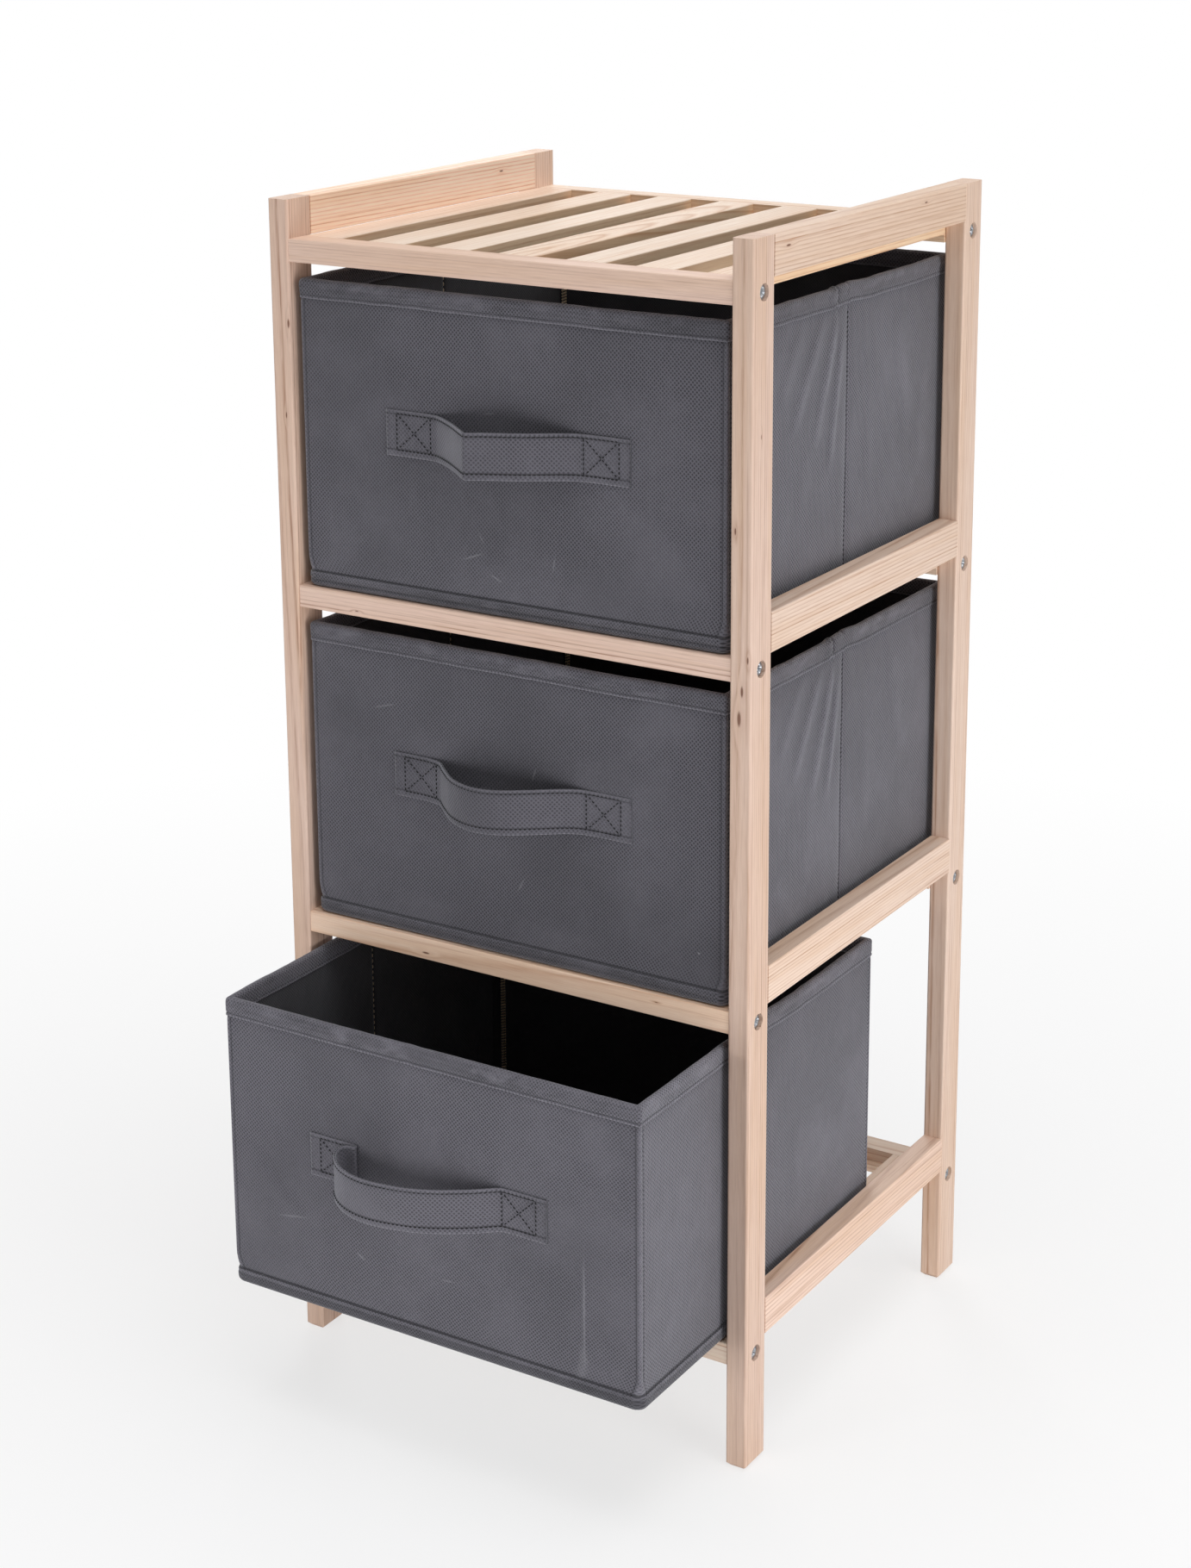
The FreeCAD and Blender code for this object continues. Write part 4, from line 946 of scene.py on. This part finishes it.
def makeRim(name, look, spot, material):
    section = rimSection()
    seed = look["seed"]
    # the tape's end lies over its start: it thickens up to the end and stops with a ragged cut
    onLap = onRight & (planPlace > jointStart) & (planPlace <= jointEnd)
    lap = np.where(onLap, 0.6 * smoothStep((planPlace - jointStart) / 9.0), 0.0)
    outs, wearAndPaintedHighlight, paintedShade = [], [], []
    for inset, height in section:
        up = height - rimLow
        puff = 0.40 * bumps(height * 1.6, 12.0, seed + 8) + 0.30 * bumps(height * 1.6, 4.8, seed + 9)
        outside = 1.0 if inset < 1.2 and not (0.6 < inset < 0.66) else 0.0
        share = smoothStep((up - 2.2) / 3.0)
        cutAt = jointEnd - 0.35 + 0.5 * math.sin(height * 1.3)
        slit = np.where(onRight & (up > 2.5), bell(planPlace - cutAt), 0.0)
        if height > 204.4:            # the cut turns back along the top of the rim
            onTop = onRight & (planPlace > jointEnd - 6.5) & (planPlace < jointEnd)
            slit = np.maximum(slit, np.where(onTop, 0.8, 0.0))
        outs.append(outside * (lap + np.abs(puff) * share - 0.9 * slit))
        # pale: painted highlight and wear along the lower edge, over the top and on bulges
        paintedEdgeHighlight = 1.0 if -0.3 < up < 1.2 else 0.0
        crown = 0.45 * smoothStep((height - 204.0) / 1.5)
        wearAndPaintedHighlight.append(np.clip(paintedEdgeHighlight + crown + 1.7 * puff.clip(min=0) * share * outside, 0, 1))
        # dark: painted shade in dents, along the stitch row and in the ragged cut
        shadow = 0.7 * (-puff - 0.14).clip(min=0) * share
        paintedShade.append(((0.30 if 1.9 < up < 2.5 else 0.0) + shadow + 1.25 * slit).clip(0, 1.25))
    radii = [max(drawerBody["wallCorner"] - inset, 0.6) for inset, _ in section]
    return makeTape(name, section, radii, spot, material, outs, rimWave(seed), wearAndPaintedHighlight, paintedShade)


def makeBand(name, look, spot, material):
    tall, lip = drawerBody["bandTall"], drawerBody["bandLip"]
    at, broad, deep, shade = look["bandGroove"]
    section = [(0.66, tall - 0.1), (0.3, tall + 0.2), (-0.06, tall + 0.05), (-0.28, tall - 0.5)]
    section += [(-0.30 - 0.30 * math.sin(math.pi * (h - 1.5) / 8.2), h)
                for h in (8.9, 8.3, 7.7, 7.2, 6.7, 6.0, 5.4, 4.8, 4.2, 3.5, 2.8)]
    section += [(-0.15, 1.9), (0.5, 0.75), (1.5, 0.12), (2.8, -0.05), (lip - 1.4, -0.05), (lip, 0.1),
                (lip, 0.6), (3.2, 0.62), (1.6, 0.66), (0.95, 1.2), (0.68, 2.2), (0.66, tall * 0.5)]
    outs, wearAndPaintedHighlight, paintedShade = [], [], []
    for inset, height in section:
        outside = inset < 0.25 and height > 1.5
        body = 1.0 if outside and height < tall - 1.0 else 0.0
        puff = 0.34 * np.abs(bumps(height * 1.4, 15.0, look["seed"] + 12))
        puff = body * (puff + 0.14 * bumps(height * 1.4, 5.0, look["seed"] + 13))
        groove = body * bell((height - at) / broad)
        outs.append(puff - deep * groove)
        # pale: painted highlight on the rolled top edge and on bulges
        paintedEdgeHighlight = 0.45 if outside and tall - 1.3 < height < tall - 0.3 else 0.0
        wearAndPaintedHighlight.append(np.clip(paintedEdgeHighlight + 1.1 * np.abs(puff), 0, 1))
        # dark: painted shade in the groove, over the lower part that faces down, and in the gap along the top
        # edge
        under = 0.12 + shade * smoothStep((at + 0.6 - height) / 2.0) if outside or height < 1.6 else 0.0
        paintedShade.append(np.full(len(plan), 1.3 * deep * groove + under + (0.7 if height > tall - 0.2 else 0.0)))
    radii = [max(drawerBody["baseCorner"] - max(inset, 0.0) * 0.8, 0.6) for inset, _ in section]
    return makeTape(name, section, radii, spot, material, outs, 0.0, wearAndPaintedHighlight, paintedShade)


# straps and stitches

def strapRoute(points):
    # the strap's middle line seen from above, with its corners softened, and its outward direction
    (firstEnd, _), (_, lastEnd) = strapSize["patches"]
    lie = strapSize["lie"]
    middle = [(a * strapSize["span"], lie - b * strapSize["bow"]) for a, b in points]
    line = np.array([(firstEnd, lie), *middle, (lastEnd, lie)])
    for _ in range(4):
        fresh = [line[0]]
        for a, b in zip(line[:-1], line[1:]):
            fresh += [a * 0.75 + b * 0.25, a * 0.25 + b * 0.75]
        line = np.array(fresh + [line[-1]])
    keep = [line[0]]
    for point in line[1:]:
        if np.linalg.norm(point - keep[-1]) > 0.25:
            keep.append(point)
    keep[-1] = line[-1]
    line = np.array(keep)
    lengths = pathLengths(line)
    stations = np.linspace(0, lengths[-1], int(lengths[-1] / 1.6) + 1)
    route = np.stack([np.interp(stations, lengths, line[:, k]) for k in (0, 1)], -1)
    tangent = np.gradient(route, axis=0)
    tangent /= np.linalg.norm(tangent, axis=1)[:, None]
    return route, np.stack([tangent[:, 1], -tangent[:, 0]], -1), stations


def strapProfile():
    # across the strap: a thin middle between two turned hems, the lower one wider
    half, wide = strapSize["thick"] / 2, strapSize["wide"] / 2
    low, top = -wide + strapSize["hemLow"], wide - strapSize["hemTop"]
    heights = np.array([-wide, -wide + 0.25, -wide + 0.7, -wide + 1.6, low - 1.1, low - 0.45, low,
                        low + 0.45, low + 1.2, -7.0, -3.5, 0.0, 3.5, 7.0, top - 1.4, top - 0.5, top,
                        top + 0.45, top + 1.1, wide - 0.7, wide - 0.25, wide])
    groove = bell((heights - low) / 0.42) + bell((heights - top) / 0.42)
    hem = (heights < low) | (heights > top)
    edge = np.sqrt(np.clip(1 - ((np.abs(heights) - (wide - 0.8)) / 0.8).clip(0, 1) ** 2, 0.02, 1))
    return heights, (half * np.where(hem, 1.0, 0.72) - 0.22 * groove) * edge, groove, hem


def makeStrap(name, look, spot, material):
    route, normal, stations = strapRoute(look["strap"])
    heights, thick, groove, hem = strapProfile()
    seed, patches = look["seed"], strapSize["patches"]
    mid = np.clip(-(route[:, 1]) / strapSize["bow"], 0, 1)
    sag = -1.0 * mid + 0.4 * ripple(stations, 0.0, 24.0, seed + 20) * mid
    sag = sag - look["droop"] * smoothStep(mid / 0.3) * smoothStep((20 - route[:, 0]) / 60)
    onPatch = ((route[:, 0] < patches[0][1] - 2) | (route[:, 0] > patches[1][0] + 2)) & (mid < 0.1)
    patch = np.convolve(onPatch.astype(float), np.ones(3) / 3, mode="same")
    # painted shade: a dark line near each end of the strap
    ends = 0.6 * bell((np.minimum(stations, stations[-1] - stations) - 0.7) / 0.7)
    rows, wearAndPaintedHighlight, paintedShade = [], [], []
    uneven = lambda z, size, extra: ripple(stations, z, size, seed + extra)
    for sign in (1, -1):              # the front from its lower edge up, then the back down again
        for z, half, dip, turned in list(zip(heights, thick, groove, hem))[::sign]:
            wobble = 0.10 * uneven(z, 9.0, 21) + 0.45 * uneven(z, 26.0, 22) * mid
            pucker = 0.22 * np.abs(uneven(z, 4.2, 23)) + 0.12 * uneven(z, 2.4, 24)
            out = sign * half + wobble * (mid > 0.05)
            if sign > 0:
                out = out + pucker * patch * (0.4 if turned else 1.0)
            place = route + normal * out[:, None]
            rows.append(np.stack([place[:, 0], place[:, 1], strapSize["height"] + z + sag], -1))
            edge = strapSize["wide"] / 2 - abs(z)
            # pale: painted highlight just inside each edge and on the puckers; dark: painted shade in the hem
            # grooves, along the outer edges and near the ends
            wearAndPaintedHighlight.append((0.6 if 0.1 < edge < 0.9 else 0.0) + np.clip(pucker * patch * 1.2, 0, 0.5))
            paintedShade.append(0.75 * dip * (1.0 if sign > 0 else 0.6) + (0.9 if edge < 0.1 else 0.0) + ends)
    count, cols = len(rows), len(stations)
    around = np.concatenate([heights, heights[::-1], heights[:1]]) + strapSize["wide"]
    end = list(range(0, count * cols, cols))
    caps = [(end, [(0.0, v) for v in around[:count]]),
            ([v + cols - 1 for v in end[::-1]], [(stations[-1], v) for v in around[:count][::-1]])]
    faces, uvs = gridFaces(count, cols, True, False, around, stations, caps)
    piece = makeObject(name, rows, faces, material, spot, uvs, {"wearAndPaintedHighlight": wearAndPaintedHighlight, "crease": paintedShade})
    return piece, stations[-1], (route, normal, stations, sag)


class Stitches:
    # gathers small thread capsules, drawn along lines, into one mesh
    def __init__(self):
        self.points, self.faces = [], []

    def capsule(self, middle, direction, normal, length, radius):
        direction = direction / np.linalg.norm(direction)
        normal = normal / np.linalg.norm(normal)
        side = np.cross(direction, normal)
        start = len(self.points)
        # a point at each end and three rings between; along is a share of the length, wide and lift
        # are shares of the radius
        for along, wide, lift in ((-0.5, 0.0, -0.35), (-0.34, 0.8, 0.1), (0.0, 1.0, 0.35),
                                  (0.34, 0.8, 0.1), (0.5, 0.0, -0.35)):
            centre = middle + direction * along * length + normal * lift * radius
            for k in range(5 if wide else 1):
                angle = 2 * math.pi * k / 5
                spoke = side * math.cos(angle) + normal * math.sin(angle)
                self.points.append(centre + radius * wide * spoke)
        ring = lambda row, k: start + 1 + row * 5 + k % 5
        for k in range(5):
            self.faces.append((start, ring(0, k), ring(0, k + 1)))
            for row in (0, 1):
                self.faces.append((ring(row, k), ring(row + 1, k), ring(row + 1, k + 1), ring(row, k + 1)))
            self.faces.append((ring(2, k), start + 16, ring(2, k + 1)))

    def line(self, kind, points, normals):
        pitch, length, radius = stitchSizes[kind]
        points, normals = np.asarray(points, float), np.asarray(normals, float)
        normals = np.broadcast_to(normals, points.shape)
        lengths = pathLengths(points)
        count = max(int(lengths[-1] / pitch), 1)
        for middle in (np.arange(count) + 0.5) * lengths[-1] / count:
            at = lambda d, values: np.array([np.interp(middle + d, lengths, values[:, k]) for k in range(3)])
            ahead = at(length / 2, points) - at(-length / 2, points)
            if np.linalg.norm(ahead) > 0.2 * length:
                self.capsule(at(0, points), ahead, at(0, normals), length, radius)

    def loop(self, kind, points, normals):
        self.line(kind, *(np.vstack([grid, grid[:1]]) for grid in (points, normals)))

    def build(self, name, spot, material):
        return makeObject(name, self.points, self.faces, material, spot)


def strapStitches(stitches, strap):
    # two rows along the hems, and a box with a cross on each patch
    route, normal, stations, sag = strap
    wide = strapSize["wide"] / 2
    low, top = -wide + strapSize["hemLow"] - 0.4, wide - strapSize["hemTop"] + 0.2
    lift = strapSize["thick"] / 2 + 0.05
    table = (route[:, 0], route[:, 1], normal[:, 0], normal[:, 1], sag)

    def sew(path):
        spots, outs = [], []
        for distance, height in path:
            x, y, outX, outY, drop = (np.interp(distance, stations, values) for values in table)
            spots.append((x + outX * lift, y + outY * lift, strapSize["height"] + height + drop))
            outs.append((outX, outY, 0.0))
        stitches.line("strap", spots, outs)

    for height in (low, top):
        sew([(d, height) for d in np.linspace(8.0, stations[-1] - 8.0, 160)])
    firstLong, lastLong = (end - start for start, end in strapSize["patches"])
    diagonal = np.linspace(0.06, 0.94, 14)
    for start, end in ((8.5, firstLong - 2.0), (stations[-1] - lastLong + 1.5, stations[-1] - 7.5)):
        for edge in (start, end):
            sew([(edge, h) for h in np.linspace(low, top, 12)])
        for first, last in ((low, top), (top, low)):
            sew([(start + (end - start) * t, first + (last - first) * t) for t in diagonal])


def drawerStitches(look, strap):
    dark, pale, seam = Stitches(), Stitches(), Stitches()
    strapStitches(dark, strap)
    lift = rimWave(look["seed"])
    seam.loop("rim", loopPoints(0.12, rimLow + 2.25, 2.9, 0.0, lift), planOut)
    seam.loop("rim", loopPoints(tapeIn - 0.10, rimLow + 2.3, 0.6, 0.0, lift), -planOut)
    seam.loop("base", loopPoints(-0.34, drawerBody["bandTall"] - 1.7, drawerBody["baseCorner"]), planOut)
    sunk, skin, inside = halfWide - coverIn - 0.62, 0.85, halfWide - liningIn
    up = lambda low, high: np.linspace(low, high, 60)
    for side in (-1, 1):
        # along the fold of the side walls, sunk in its crease
        lean = drawerBody["foldLean"]
        fold = [(side * sunk, foldAt - lean * (1 - h / 200), h) for h in up(14, 190)]
        dark.line("fold", fold, (side, 0, 0))
        # beside each upright corner
        near, out = halfWide - seamIn, halfWide - skin
        for x, y, facing in ((near, skin, (0, -1, 0)), (near, binDeep - skin, (0, 1, 0)),
                             (out, seamIn, (side, 0, 0)), (out, binDeep - seamIn, (side, 0, 0))):
            seam.line("corner", [(side * x, y, h) for h in up(13, 191)], facing)
        # inside, where pale thread shows on the dark lining
        pale.line("liningFold", [(side * (inside + 0.45), foldAt, h) for h in up(8, 191)], (-side, 0, 0))
        for y, facing in ((binDeep - liningIn - 0.25, -1), (liningIn + 0.25, 1)):
            for row in (0.0, 1.5, 3.0):
                x = side * (inside - look["innerSeam"] - row)
                pale.line("liningCorner", [(x, y, h + 0.4 * row) for h in up(8, 191)], (0, facing, 0))
    return dark, pale, seam


def makeDrawer(drawer):
    look = drawerLooks[drawer]
    body, seed, toneAndPaintedLight = f"{drawer}_drawer", look["seed"], look["toneAndPaintedLight"]
    low = cadBoxOf(f"{body}_base_binding")[0]
    spot = (0.0, low[1], low[2])
    coverCloth = makeCloth(f"{drawer}CoverCloth", "cover", seed, look["marks"], toneAndPaintedLight)
    liningCloth = makeCloth(f"{drawer}LiningCloth", "lining", seed + 1)
    tapeCloth = makeCloth(f"{drawer}TapeCloth", "tape", seed + 2, toneAndPaintedLight=toneAndPaintedLight)
    strapCloth = makeCloth(f"{drawer}StrapCloth", "strap", seed + 3, toneAndPaintedLight=toneAndPaintedLight)
    darkThread = makePlain(f"{drawer}DarkThread", "darkThread")
    paleThread = makePlain(f"{drawer}PaleThread", "paleThread")
    seamThread = makePlain(f"{drawer}SeamThread", "seamThread")

    cover = makeCover(f"{body}_cover_cloth", look, spot, coverCloth)
    lining = makeLining(f"{body}_lining_cloth", look, spot, liningCloth)
    rim, rimWidth = makeRim(f"{body}_rim_tape", look, spot, tapeCloth)
    band, bandWidth = makeBand(f"{body}_base_tape", look, spot, tapeCloth)
    strap, strapLength, strapLine = makeStrap(f"{body}_strap", look, spot, strapCloth)
    dark, pale, seam = drawerStitches(look, strapLine)
    darkPiece = dark.build(f"{body}_stitches", spot, darkThread)
    palePiece = pale.build(f"{body}_inner_stitches", spot, paleThread)
    seamPiece = seam.build(f"{body}_tape_stitches", spot, seamThread)
    for piece in (cover, lining, rim, band, strap, darkPiece, palePiece, seamPiece):
        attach(piece, body)
    for piece, node, slotName in ((cover, "cover", "cover_fabric"), (lining, "lining", "lining_fabric"),
                                  (rim, "rim_binding", "binding_tape"),
                                  (band, "base_binding", "binding_tape"), (strap, "handle", "webbing")):
        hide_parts(f"{body}_{node}")

    boards = [f"{body}_{part}" for part in ("front_board", "back_board", "side_boards", "base_board")]
    board = makePlain(f"{drawer}GreyBoard", "greyBoard")
    for node in boards:
        dress(node, board)


for drawer in drawerLooks:
    makeDrawer(drawer)
    print(drawer, "drawer: cover, lining, tapes, strap and stitches")
